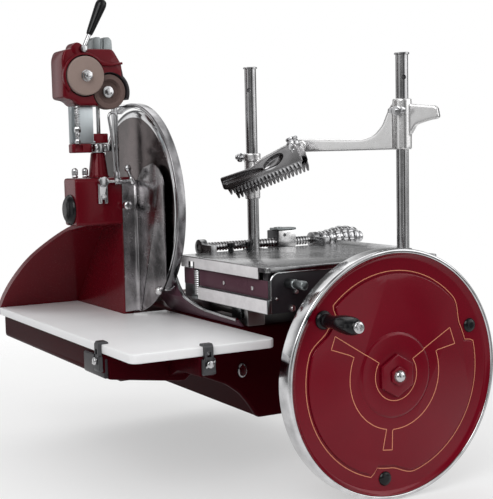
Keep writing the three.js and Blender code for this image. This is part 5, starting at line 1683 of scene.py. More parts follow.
@dataclass
class Table:
    """Meat table, posts, feed screw, regulator, nut box and stop screws."""

    left_x: float = -170.0
    right_x: float = 150.0
    front_y: float = -314.0
    back_y: float = -25.0
    top_z: float = 254.0
    thickness: float = 8.0
    screw_y: float = 14.0
    screw_z: float = 260.0
    post_top_z: float = 578.0
    post_radius: float = 10.25
    posts: tuple[Point2, Point2] = ((130.0, -250.0), (-15.0, -12.0))

    def build(self) -> None:
        """Build every piece."""
        self.plate()
        self.uprights()
        self.feed_screw()
        self.regulator()
        self.nut_box()
        self.stop_screws()

    def plate(self) -> None:
        """Build the table with its skirt, ears, lug, ledge and bosses, and its pale side band, which paints a
        bright reflection on the skirt.
        """
        low = self.top_z - self.thickness
        x0, x1, y0, y1 = self.left_x, self.right_x, self.front_y, self.back_y
        corners = [(x0, y0), (x1, y0), (x1, y1), (x0, y1)]
        top = Form.prism(Axis.Z, rounded(corners, 8, 5), low, self.top_z, 1.2)
        skirt = Form.block((x0 + 0.1, x0 + 4), (y0 + 27, y1 - 6), (self.top_z - 19, low + 1), 0.8)
        passage = ((x0 - 2, x0 + 5), (-81, -59), (self.top_z - 21, low))
        skirt.cut(Form.block(*passage))
        ledge = [(x1 - 12, self.top_z - 1), (x1 - 0.2, self.top_z - 1), (x1 - 0.2, self.top_z + 7)]
        (px, py), (qx, qy) = self.posts
        flare = flowing([(19, -0.5), (17, 1.5), (15, 4), (14.2, 6)], 4)
        top.join(
            skirt,
            Form.block((qx - 16, qx + 16), (y1 - 1, qy + 12), (low + 0.1, self.top_z - 0.1), 1),
            Form.prism(Axis.Y, rounded(ledge, 1, 2), py + 24, y1 - 10, 0.6),
            Form.lathe(Axis.Z, [(0, -0.5), *flare, (0, 6)], (px, py, self.top_z), 48),
        )
        for x in (-112, 122):
            top.join(
                Form.block((x, x + 12), (y1 - 6, self.screw_y), (low + 0.2, self.screw_z + 6), 0.8),
                Form.rod(Axis.X, 14, x - 0.2, x + 12.2, (0, self.screw_y, self.screw_z), 0.8),
            )
        top.cut(
            Form.rod(Axis.X, 6.5, -113, 135, (0, self.screw_y, self.screw_z), 0),
            *(Form.rod(Axis.Z, 6.3, 240, 262, (x, y, 0), 0, 24) for x, y in self.posts),
        )
        top.piece("table_plate", TABLE_TOP, "meat_table")
        # A pale strip on the table's side paints a bright reflection.
        band = Form.block((x0 - 0.5, x0 + 0.6), (y0 + 26, y1 - 8), (self.top_z - 18.6, self.top_z - 1.6), 0.4)
        band.cut(Form.block(*passage))
        band.piece("table_side_band", PAINTED_HIGHLIGHT_BAND, "meat_table", stands=False)
        block = Form.block((x0 - 0.6, x0 + 0.6), (y0 + 7, y0 + 25.5), (low + 0.2, self.top_z - 1.4), 0.4)
        block.piece("table_corner_block", PANEL, "meat_table", stands=False)

    def uprights(self) -> None:
        """Build both posts with their caps and cross holes, lined with dark steel that paints the shade
        inside.
        """
        for (x, y), node, seat, drop, turn in (
            (self.posts[0], "post_front", 260.3, 0, -20),
            (self.posts[1], "post_rear", 254.3, 6.5, -47),
        ):
            top, r = self.post_top_z - drop, self.post_radius
            profile = [
                (0, seat - 13), (6, seat - 13), (6, seat), (r, seat), (r, top - 4),
                (r - 0.6, top - 3.6),
            ]
            profile += [
                (r - 0.6, top - 3.4), (r + 2, top - 3), (r + 2, top - 0.8), (r + 1.2, top),
                (r - 4, top), (r - 5, top - 1.5), (0, top - 1.5),
            ]
            bar = Form.lathe(Axis.Z, profile, (x, y, 0), 64)
            hole = Form.rod(Axis.Y, 4, -20, 20, edge=0, steps=24).turned(turn, Axis.Z)
            bar.cut(hole.moved(x, y, top - 40))
            bar.piece(f"{node}_bar", POST, node)
            half = math.sqrt(r * r - 16) - 0.4
            # The dark lining paints the shade inside the cross hole.
            shade_lining = Form.lathe(Axis.Y, [(3, -half), (3.95, -half), (3.95, half), (3, half)], (0, 0, 0), 24)
            shade_lining.turned(turn, Axis.Z).moved(x, y, top - 40)
            shade_lining.piece(f"{node}_hole_lining", DARK_STEEL, node, stands=False)

    def feed_screw(self) -> None:
        """Build the threaded screw."""
        start, end, pitch = -98, 119, 6
        core = Form.lathe(
            Axis.X, [(0, -111), (6, -111), (6, 154.5), (0, 154.5)], (0, self.screw_y, self.screw_z), 40
        )
        turns = (end - start) / pitch
        per_turn = 18
        steps = int(turns * per_turn)
        rings: list[list[Point3]] = []
        for i in range(steps + 1):
            turn = 2 * math.pi * turns * i / steps
            x = start + pitch * turns * i / steps
            crest = 5.7 + 2.2 * min(1, i / per_turn, (steps - i) / per_turn)
            ridge = ((5.6, -2.3), (crest, -0.8), (crest, 0.8), (5.6, 2.3))
            c, s = math.cos(turn), math.sin(turn)
            rings.append([(x + along, self.screw_y + r * c, self.screw_z + r * s) for r, along in ridge])
        core.piece("feed_screw_core", STEEL_X, "feed_screw")
        Form.skin(rings).piece("feed_screw_thread", CHROME, "feed_screw", stands=False)

    def regulator(self) -> None:
        """Build the stepped regulator with knurled steps."""
        start = 139
        radii = (15, 17, 20, 22.5, 22, 19, 11)
        profile: list[Point2] = [(0, 0), (radii[0] - 2.5, 0)]
        for step, radius in enumerate(radii):
            x = 14 * step
            profile += [
                (radius - 4.5, x + 1.2), (radius - 0.8, x + 2.2), (radius, x + 4.2),
                (radius - 0.5, x + 9.4),
            ]
            profile += [(radius - 2, x + 11.4), (radius - 4.5, x + 12.2)]
        profile += [(radii[-1] - 6, 98), (0, 98)]
        cone = Form.lathe(Axis.X, profile, (start, self.screw_y, self.screw_z), 72, 0.8)
        flutes = []
        for step in (2, 3, 4):
            radius = radii[step]
            for i in range(10):
                turn = math.radians(36 * i)
                y, z = (radius + 1.6) * math.cos(turn), (radius + 1.6) * math.sin(turn)
                spot = (start + 14 * step, self.screw_y + y, self.screw_z + z)
                flutes.append(Form.rod(Axis.X, 3.6, 2, 12.4, spot, 0, 16))
        cone.cut(*flutes)
        cone.cut(Form.rod(Axis.X, 6.3, -1, 21, (start, self.screw_y, self.screw_z), 0))
        cone.piece("regulator_cone", CHROME, "thickness_regulator")

    def nut_box(self) -> None:
        """Build the nut box, its cover and the release lever."""
        x, y, z = 52, self.screw_y, self.screw_z
        box = Form.block((x - 8, x + 30), (y - 11, y + 27), (z - 16, z + 21), 2)
        box.join(Form.block((x - 13.9, x + 13.9), (-29.7, y + 14.8), (219.8, z - 15), 1.2))
        box.cut(Form.rod(Axis.X, 8.9, -60, 60, (x, y, z), 0))
        box.piece("nut_box_body", DARK_STEEL, "feed_nut_box")
        face = Form.block((x - 6.5, x + 30), (y - 12.5, y - 10.5), (z - 8, z + 21), 0.8)
        face.cut(Form.rod(Axis.Y, 3, -20, 20, (x + 6, y, z + 13), 0, 20))
        face.piece("nut_box_face", BRIGHT_CASTING, "feed_nut_box", stands=False)
        low = z + 21.3
        lever = Form.rod(Axis.Z, 8, 0, 6, (x, y, low), 0.8)
        bar = rounded([(-9, -12.5), (31, -12.5), (33, -8), (33, 8), (22, 17), (-9, 17)], 3, 3)
        lever.join(Form.prism(Axis.Z, bar, 0.4, 4.4, 1.4, 3).moved(x, y, low))
        lever.piece("nut_lever_arm", ALUMINIUM, "nut_release_lever")

    def stop_screws(self) -> None:
        """Build the two black stop screws."""
        profile = [
            (0, 0), (5, 0), (5, 3), (3, 4), (3, 6.6), (6.4, 7.6), (7, 9), (7, 13.4), (5.6, 14.8),
            (0, 15),
        ]
        for x, node in ((-74, "stop_screw_outer"), (-38, "stop_screw_inner")):
            knob = Form.lathe(Axis.Z, profile, (x, self.back_y - 9, 254.3), 40, 0.6)
            knob.piece(f"{node}_knob", BLACK, node)


@dataclass
class Clamp:
    """Clamp arm on both posts with its toothed plate and wing screws, in the arm's own frame."""

    origin: Point2 = (130.0, -250.0)
    target: Point2 = (-15.0, -12.0)
    front_z: Span = (422.0, 504.0)
    rear_z: Span = (342.0, 422.0)
    hinge_share: float = 0.65
    hinge_z: float = 431.0
    plate_v: float = 30.0
    plate_length: float = 149.0
    drop: float = 19.0
    tooth_pitch: float = 7.5

    @property
    def spacing(self) -> float:
        """Return the distance between the posts."""
        return math.dist(self.origin, self.target)

    @property
    def hinge_u(self) -> float:
        """Return the hinge's place along the arm."""
        return self.hinge_share * self.spacing

    @property
    def frame(self) -> Matrix:
        """Set up the frame that runs from the front post towards the rear post.

        Returns:
            The frame's matrix in metres.
        """
        turn = math.atan2(self.target[1] - self.origin[1], self.target[0] - self.origin[0])
        shift = Matrix.Translation((self.origin[0] * MM, self.origin[1] * MM, 0))
        return shift @ Matrix.Rotation(turn, 4, "Z")

    def build(self) -> None:
        """Build every piece."""
        self.arm()
        self.hinge()
        self.plate()
        self.teeth()
        self.screws()

    def arm(self) -> None:
        """Build the tapered arm with both sleeves and the bracket behind the front post."""
        top, low = self.front_z[1], self.front_z[0]
        rear = self.rear_z
        side = [(0, low), (self.hinge_u, low), (self.spacing, rear[0] + 48), (self.spacing, rear[0] + 62)]
        side += [(self.hinge_u + 8, low + 23), (96, low + 19), (66, low + 19), (47, low + 25), (33, low + 40)]
        side += [(24, low + 62), (16, low + 76), (0, low + 78)]
        wing = [(-64, top - 34), (-60, top - 14), (-8, top - 8), (0, top - 8), (0, top - 66), (-15, top - 60)]
        wing += [(-26, top - 42), (-48, top - 36)]
        arm = Form.prism(Axis.Y, rounded(side, 7, 4), -8, 7, 3.4, 4)
        arm.join(
            Form.rod(Axis.Z, 15.5, low, top, (0, 0, 0), 1.6, 56),
            Form.rod(Axis.Z, 13.5, rear[0], rear[1] - 8, (self.spacing, 0, 0), 1.2, 56),
            Form.rod(Axis.Z, 15.5, rear[1] - 14, rear[1], (self.spacing, 0, 0), 1.4, 56),
            Form.prism(Axis.Y, rounded(wing, 5, 4), -6, 6, 2.2, 3),
            Form.rod(Axis.Y, 9, 0, 16.5, (self.hinge_u, 0, self.hinge_z), 0.6),
        )
        arm.melted(1.1, 8)
        arm.cut(
            *(
                Form.rod(Axis.Z, 10.75, rear[0] - 4, top + 4, (u, 0, 0), 0, 56)
                for u in (0, self.spacing)
            )
        )
        arm.into(self.frame).piece("clamp_arm_casting", BRIGHT_CASTING, "clamp_arm", smooth=60)

    def hinge(self) -> None:
        """Build the hinge pin."""
        pin = Form.rod(Axis.Y, 5, 10, self.plate_v + 15, (self.hinge_u, 0, self.hinge_z), 0.8)
        pin.into(self.frame).piece("clamp_hinge_pin", CHROME, "clamp_arm", stands=False)

    def placed(self, form: Form) -> Form:
        """Tilt a form about the hinge and put it into place."""
        form.turned(self.drop, Axis.Y).moved(self.hinge_u, 0, self.hinge_z)
        return form.into(self.frame)

    def plate(self) -> None:
        """Build the sculpted bar with its scoop and the stacked collar at the hinge."""
        low, high = self.plate_v - 13, self.plate_v + 13
        end = self.plate_length
        side = [
            (-12, -30), (-12, 0), (-6, 6), (14, 5), (62, -1), (84, -6), (end, -2), (end, -24),
            (end - 12, -28),
        ]
        bar = Form.prism(Axis.Y, rounded(side, 4, 4), low, high, 3, 4)
        under = [(-20, -21), (end + 9, -19), (end + 9, -48), (-20, -48)]
        bar.cut(Form.prism(Axis.Y, under, low + 4, high - 4))
        scoop = [(0, -7), (8, -6), (14, -2), (16.5, 3)]
        flute = [(0, -4), (8, -3.2), (14, 0), (16, 4)]
        for curve, long, tall, turn, u, w in (
            (scoop, 1.5, 0.62, 14, 40, -12), (flute, 3.2, 0.5, -3, 104, -15),
        ):
            reach = curve[-1][0]
            bowl = Form.lathe(Axis.Y, flowing(curve, 5) + [(reach, 9), (0, 9)], steps=48)
            bar.cut(bowl.into(Matrix.Diagonal((long, 1, tall, 1))).turned(turn, Axis.Y).moved(u, high, w))
        bar.cut(Form.rod(Axis.Y, 5.5, 0, 60, (0, 0, 0), 0, 32))
        self.placed(bar).piece("clamp_plate_bar", DARK_CHROME, "clamp_plate")
        stack = [(0, -20), (9, -20), (10, -17), (9, -12), (11.2, -10), (11.8, -5), (9.6, -1)]
        stack += [(11.6, 2), (11.6, 8), (8.6, 11), (10.6, 13), (10, 16.5), (0, 17)]
        collar = Form.lathe(Axis.Z, stack, (-1, self.plate_v + 2, 0), 48, 1.6, 3)
        self.placed(collar).piece("clamp_plate_collar", CHROME, "clamp_plate", stands=False)

    def teeth(self) -> None:
        """Build both rows of teeth under the bar."""
        first = -10
        count = int((self.plate_length - first - 4) / self.tooth_pitch)
        # The far row takes darker chrome than the near row as painted shade.
        rows = ((-12.6, "far", -36, DARK_CHROME), (9.6, "near", -28, CHROME))
        for away, side, low, finish in rows:
            corners = [(first, -20), (first, low)]
            for tooth in range(count):
                u = first + tooth * self.tooth_pitch
                corners += [
                    (u + 0.4, low - 1), (u + 2.4, low - 8.6), (u + 3.7, low - 9.4),
                    (u + 5, low - 8.6), (u + 7, low - 1),
                ]
            corners += [(first + count * self.tooth_pitch, low), (first + count * self.tooth_pitch, -20)]
            v = self.plate_v + away
            row = Form.prism(Axis.Y, corners, v, v + 3, 0.5)
            self.placed(row).piece(f"clamp_teeth_{side}", finish, "clamp_plate", stands=False)

    def thumb_screw(self) -> Form:
        """Build a wing screw.

        Returns:
            The screw, pointing along +Y from the origin.
        """
        wings = [(-15, -2.5), (-15, 4), (-9, 6.5), (0, 4), (9, 6.5), (15, 4)]
        wings += [(15, -2.5), (9, -4), (0, -3), (-9, -4)]
        screw = Form.rod(Axis.Y, 3.5, 0, 16, edge=0.8, steps=24)
        return screw.join(
            Form.rod(Axis.Y, 8, 6, 11, edge=0.8),
            Form.prism(Axis.Y, rounded(wings, 2, 3), 7, 10, 1),
        )

    def screws(self) -> None:
        """Build both wing screws."""
        front = self.thumb_screw().moved(0, 15.8, self.front_z[1] - 20)
        front.into(self.frame).piece("clamp_wing_screw_front", CHROME, "clamp_screw_front")
        rear = self.thumb_screw().turned(-90, Axis.Z).moved(self.spacing + 15.8, 0, self.rear_z[1] - 7)
        rear.into(self.frame).piece("clamp_wing_screw_rear", CHROME, "clamp_screw_rear")


@dataclass
class Sharpener:
    """Sharpener on its column: swivel, slide, head, stones, lever and adjusting screw."""

    column: Point2 = (-261.0, 100.0)
    front_y: float = 66.0
    back_y: float = 124.0
    floor_z: float = 510.0
    top_z: float = 616.0
    grinding: Point2 = (-294.0, 560.0)
    honing: Point2 = (-247.0, 534.0)
    rod_xs: tuple[float, float] = (-272.0, -258.0)
    lever: Point3 = (-296.0, 61.5, 605.0)
    lean: float = 25.0
    adjust: Point2 = (-309.0, 70.0)

    def build(self) -> None:
        """Build every piece."""
        self.pillar()
        self.swivel()
        self.slide()
        self.head()
        self.stones()
        self.tilt_lever()
        self.adjuster()
        self.spring()

    def pillar(self) -> None:
        """Build the column."""
        profile = [(0, 387.3), (19, 387.3), (19, 389), (17.2, 391), (12.3, 430), (9, 430), (9, 446), (0, 446)]
        pillar = Form.lathe(Axis.Z, profile, (*self.column, 0), 56, 1.4, 3)
        pillar.piece("sharpener_pillar", RED, "sharpener_column")

    def swivel(self) -> None:
        """Build the red arm and the bright split clamp round the column's neck."""
        x, y = self.column
        outline = [
            (x - 57, y - 28), (x - 23, y - 28), (x - 15, y - 16), (x - 13, y + 6), (x - 39, y + 6),
            (x - 57, y - 8),
        ]
        arm = Form.prism(Axis.Z, rounded(outline, 3, 3), 430.6, 446, 2, 3)
        arm.cut(
            Form.rod(Axis.Z, 16.6, 429, 447, (x, y, 0), 0, 56),
            Form.block((x - 52, x - 38), (y - 29, y - 25), (433, 443.5), 0.8),
        )
        arm.piece("swivel_arm", RED, "sharpener_swivel")
        clamp = Form.rod(Axis.Z, 17, 430.5, 446, (x, y, 0), 1.4, 56)
        clamp.join(Form.block((x + 6, x + 34), (y - 18, y - 1), (431.5, 445), 2.2, 3))
        clamp.cut(
            Form.rod(Axis.Z, 9.5, 429, 447, (x, y, 0), 0),
            Form.block((x + 16, x + 19), (y - 20, y - 3), (429, 447)),
            Form.block((x + 26, x + 29), (y - 20, y - 14), (429, 447)),
        )
        clamp.piece("swivel_clamp", CHROME, "sharpener_swivel", stands=False)
        for side, spot in (("right", (x + 22.5, y - 18, 438)), ("left", (x - 9, y - 14.6, 438))):
            bolt = Form.nut(Axis.Y, 4, -4, 0.4, spot)
            bolt.piece(f"swivel_bolt_{side}", CHROME, "sharpener_swivel", stands=False)

    def slide(self) -> None:
        """Build the slide plate, its foot, the red block on it and the two rods."""
        left, y = self.column[0] - 56, self.front_y + 12
        plate = Form.block((left, left + 41), (y, y + 12), (446.3, 509.7), 1.2)
        plate.cut(Form.block((left + 3, left + 5), (y - 1, y + 1), (440, 520)))
        plate.join(Form.block((left + 4, left + 44), (y + 0.1, 99), (446.3, 450.3), 1.2))
        plate.piece("slide_plate", SLIDE, "slide_guide")
        block = Form.block((self.rod_xs[0] - 6, self.rod_xs[1] + 9), (y + 1, 108), (446.4, 463), 1.6, 3)
        block.cut(*(Form.rod(Axis.Z, 3.4, 440, 470, (x, 100, 0), 0, 24) for x in self.rod_xs))
        block.piece("slide_rod_block", RED, "slide_guide", stands=False)
        for side, x in zip(("left", "right"), self.rod_xs):
            bar = Form.rod(Axis.Z, 3.5, 447, 570, (x, 100, 0), 0.6, 32)
            bar.piece(f"slide_rod_{side}", CHROME, "slide_guide", stands=False)

    def head(self) -> None:
        """Build the red head with both recesses and the black linings that paint the shade in them, its rim,
        its boss and the grey crest.
        """
        z0, z1, y0, y1 = self.floor_z, self.top_z, self.front_y, self.back_y
        flat = z1 - 10
        front = [(-333, 523), (-333, 590), (-328, flat - 3), (-318, flat), (-240, flat), (-224, 580)]
        front += [(-224, 540), (-236, 522), (-252, z0), (-306, z0), (-316, 520)]
        body = Form.prism(Axis.Y, rounded(front, 6, 4), y0, y1, 4, 4)
        (gx, gz), (hx, hz) = self.grinding, self.honing
        rim = Form.prism(Axis.Y, self.rim_outline(), y0 - 5, y0 + 4, 1.8, 3)
        boss = Form.rod(Axis.Y, 11, y0 - 1, y0 + 30, (self.lever[0] - 9, 0, flat - 1), 2.5, 40)
        body.join(rim, boss)
        body.cut(
            Form.rod(Axis.Y, 35.4, y0 - 9, y0 + 18, (gx, 0, gz), 0, 64),
            Form.rod(Axis.Y, 33, y0 - 9, y0 + 27, (hx, 0, hz), 0, 64),
        )
        body.cut(
            Form.rod(Axis.Y, 6.5, 0, y0 + 44, (gx, 0, gz), 0, 24),
            Form.rod(Axis.Y, 5.5, 0, y0 + 50, (hx, 0, hz), 0, 24),
            Form.rod(Axis.Y, 6.4, y0 - 9, y0 + 0.5, (self.lever[0], 0, self.lever[2]), 0, 40),
            Form.rod(Axis.Y, 4.5, y0 - 1, y0 + 8, (self.lever[0], 0, self.lever[2]), 0, 24),
            *(Form.rod(Axis.Z, 4, z0 - 9, z0 + 64, (x, 100, 0), 0, 24) for x in self.rod_xs),
        )
        body.piece("sharpener_head_casting", RED, "sharpener_head")
        # Black cups lining the recesses paint the shade in their hollows.
        for name, radius, depth, x, z in (("coarse", 35.2, 17.8, gx, gz), ("fine", 32.8, 26.8, hx, hz)):
            skin = [(8, depth - 1), (radius - 1, depth - 1), (radius - 1, 5)]
            skin += [(radius, 4), (radius, depth), (8, depth)]
            room = Form.lathe(Axis.Y, skin, (x, y0, z), 64)
            keep = Form.prism(Axis.Y, rounded(front, 6, 4), y0, y1)
            room.common(keep).piece(f"head_recess_{name}", PANEL, "sharpener_head", stands=False)
        # A black piece round the fine stone's recess paints more shade in the hollow.
        hood = arc(hx, hz, 37, -22, 46, 16) + [(-224.5, 576), (-246, 574.5), (-268, 574)]
        hood += arc(hx, hz, 31.6, 128, -22, 30)
        cover = Form.prism(Axis.Y, hood, y0 + 2, y1 - 26, 1)
        cover.cut(Form.rod(Axis.Y, 36, y0 - 9, y0 + 90, (gx, 0, gz), 0, 64))
        cover.piece("head_stone_hood", PANEL, "sharpener_head", stands=False)
        crest = [
            (-271, flat - 5), (-270.5, flat + 17), (-266, flat + 21.5), (-257.5, flat + 21),
            (-256, flat + 18.5),
        ]
        crest += [
            (-252, flat + 18.5), (-250, flat + 21), (-241, flat + 21.5), (-236, flat + 16),
            (-235, flat - 9),
        ]
        top = Form.prism(Axis.Y, rounded(crest, 2, 3), y0 + 14, y1 - 16, 1.6, 3)
        top.cut(Form.rod(Axis.Z, 3.4, flat, flat + 40, (-254, y0 + 13, 0), 0, 24))
        top.piece("head_crest", ALUMINIUM, "sharpener_head", stands=False)

    def rim_outline(self) -> list[Point2]:
        """Outline the raised rim that half surrounds the coarse stone.

        Returns:
            The outline as (x, z).
        """
        x, z = self.grinding
        brow = [(-246, 581.5), (-225, 584), (-224.2, 580), (-246, 576.5)]
        return arc(x, z, 39.4, 222, 44, 44) + brow + arc(x, z, 34, 30, 222, 40)

    def stones(self) -> None:
        """Build both stones with their spindles and nuts."""
        (gx, gz), (hx, hz), y = self.grinding, self.honing, self.front_y
        disc = [(0, -9), (31.6, -9), (33, -7.4), (33, 1.4), (31.6, 3), (0, 3)]
        Form.lathe(Axis.Y, disc, (gx, y, gz), 80, 0.8).piece(
            "grinding_disc", COARSE, "grinding_stone"
        )
        spindle = Form.rod(Axis.Y, 6, 1, 40, (gx, y, gz), 0.5, 32)
        spindle.piece("grinding_spindle", STEEL_Y, "grinding_stone", stands=False)
        nut = Form.nut(Axis.Y, 9, -17, -10, (gx, y, gz))
        nut.join(
            Form.rod(Axis.Y, 9.8, -11, -8.5, (gx, y, gz), 0.4),
            Form.rod(Axis.Y, 4, -20, -16, (gx, y, gz), 1.2, 32),
        )
        nut.piece("grinding_nut", CHROME, "grinding_stone", stands=False)
        cup = [(0, 14), (18, 14), (21, 4.4), (22, 4), (29, 4), (30, 6), (30, 24), (0, 24)]
        Form.lathe(Axis.Y, cup, (hx, y, hz), 80, 0.8).piece(
            "honing_cup", FINE, "honing_stone"
        )
        Form.rod(Axis.Y, 5, 23, 48, (hx, y, hz), 0.5, 32).piece(
            "honing_spindle", STEEL_Y, "honing_stone", stands=False
        )
        washer = Form.rod(Axis.Y, 10, 10, 14.5, (hx, y, hz), 0.8)
        washer.join(Form.nut(Axis.Y, 6, 5, 11, (hx, y, hz)))
        washer.piece("honing_nut", CHROME, "honing_stone", stands=False)

    def tilt_lever(self) -> None:
        """Build the lever's hub, its stem and the black grip."""
        hub = Form.rod(Axis.Y, 5.6, -4, 4, edge=1)
        hub.join(
            Form.rod(Axis.Y, 4, 3, 12, edge=0.5, steps=24),
            Form.rod(Axis.Z, 3.5, 3, 30, edge=0.5, steps=24),
        )
        hub.turned(self.lean, Axis.Y).moved(*self.lever).piece("lever_stem", CHROME, "sharpener_lever")
        profile = [
            (0, 26), (4.6, 26), (5.4, 28), (6.2, 34), (7.8, 56), (9.3, 76), (9.5, 82), (8, 88),
            (4.6, 90.6), (0, 91),
        ]
        grip = Form.lathe(Axis.Z, profile, (0, 0, 0), 40, 1.6, 3)
        grip.turned(self.lean, Axis.Y).moved(*self.lever).piece("lever_grip", BLACK, "sharpener_lever")

    def adjuster(self) -> None:
        """Build the adjusting screw with its flange."""
        spot = (*self.adjust, 0)
        screw = Form.rod(Axis.Z, 2.4, 446.3, 509.7, spot, 0.3, 24)
        screw.join(
            Form.nut(Axis.Z, 6, 465, 474, spot),
            Form.nut(Axis.Z, 5, 446.3, 453, spot),
            Form.rod(Axis.Z, 4.2, 458, 465.4, spot, 0.8, 32),
        )
        screw.piece("adjusting_screw_bar", CHROME, "adjusting_screw")

    def spring(self) -> None:
        """Build the round-wire spring as a fixed coil that does not stretch."""
        turns, per_turn, low, high = 8, 28, 474.3, 509.4
        wire = 0.8
        path: list[Point3] = []
        rise = (high - low - 4 * wire) / turns
        for i in range(turns * per_turn + 1):
            turn = 2 * math.pi * i / per_turn
            z = low + 2 * wire + rise * i / per_turn
            x = self.adjust[0] + 4.6 * math.cos(turn)
            path.append((x, self.adjust[1] + 4.6 * math.sin(turn), z))
        path.insert(0, (path[0][0], path[0][1], low))
        path.append((path[-1][0], path[-1][1], high))
        coil = Form.tube(path, wire, 8)
        spring = coil.piece("adjusting_spring_coil", CHROME, "adjusting_spring", rides=False)
        x, y = self.adjust[0] * MM, self.adjust[1] * MM
        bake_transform(spring)


@dataclass
class Linkage:
    """Slotted bracket, link rod and loop handle in front of the housing."""

    face_y: float = 71.7
    rod_y: float = 64.0
    rod_z: float = 380.0
    loop_x: float = -241.0

    def build(self) -> None:
        """Build every piece."""
        self.bracket()
        self.link_rod()
        self.loop()

    def bracket(self) -> None:
        """Build the slotted bracket with its screw."""
        z = self.rod_z
        strap = Form.block((-276, -258), (66, self.face_y), (z - 38, z + 2), 2, 3)
        strap.join(Form.rod(Axis.Y, 9, 60, self.face_y - 0.1, (-267, 0, z), 1.4, 48))
        strap.cut(Form.block((-269.5, -264.5), (60, 75), (z - 40, z - 22)))
        strap.piece("link_bracket_strap", CHROME, "link_bracket")
        screw = Form.rod(Axis.Y, 4.6, 63, 66.6, (-267, 0, z - 26), 1.2, 32)
        screw.cut(Form.block((-273, -261), (62, 64), (z - 26.8, z - 25.2)))
        screw.piece("link_bracket_screw", CHROME, "link_bracket", stands=False)

    def link_rod(self) -> None:
        """Build the rod with the upright at its end."""
        y, z = self.rod_y, self.rod_z
        bar = Form.rod(Axis.X, 2.5, -262, -213, (0, y, z), 0.5, 28)
        upright = [
            (0, -6), (5, -5), (5, 5), (3.4, 8), (3.2, 18), (5.8, 20), (6.2, 25), (4.4, 28.6),
            (0, 29.5),
        ]
        knob = Form.lathe(Axis.Z, upright, (0, 0, 0), 32, 1.4)
        bar.join(knob.turned(-20, Axis.Y).moved(-213, y, z))
        bar.piece("link_rod_bar", CHROME, "link_bracket", stands=False)

    def loop(self) -> None:
        """Build the loop handle from one bent wire and its eye."""
        x, y, z = self.loop_x, self.rod_y, self.rod_z
        side = [(-2.8, 9), (-3.2, 50), (-5, 84), (-7.4, 108)]
        bend = arc(0, 111, 7.4, 172, 8, 12)
        outline = [*side, *bend, *[(-u, v) for u, v in reversed(side)]]
        path = [(x + u, y, z + v) for u, v in outline]
        wire = Form.tube(flowing(path, 3), 2.3, 12)
        eye = Form.rod(Axis.X, 6, -6, 6, (x, y, z), 0.8, 40)
        root = Form.prism(Axis.Y, rounded([(-5, 2), (5, 2), (5.4, 18), (-5.4, 18)], 2, 3), -2, 2, 0.6)
        eye.join(root.moved(x, y, z), wire).cut(Form.rod(Axis.X, 3, -9, 9, (x, y, z), 0, 28))
        eye.turned(-2.4, Axis.Y, (x, y, z))
        eye.piece("loop_handle_wire", CHROME, "loop_handle")


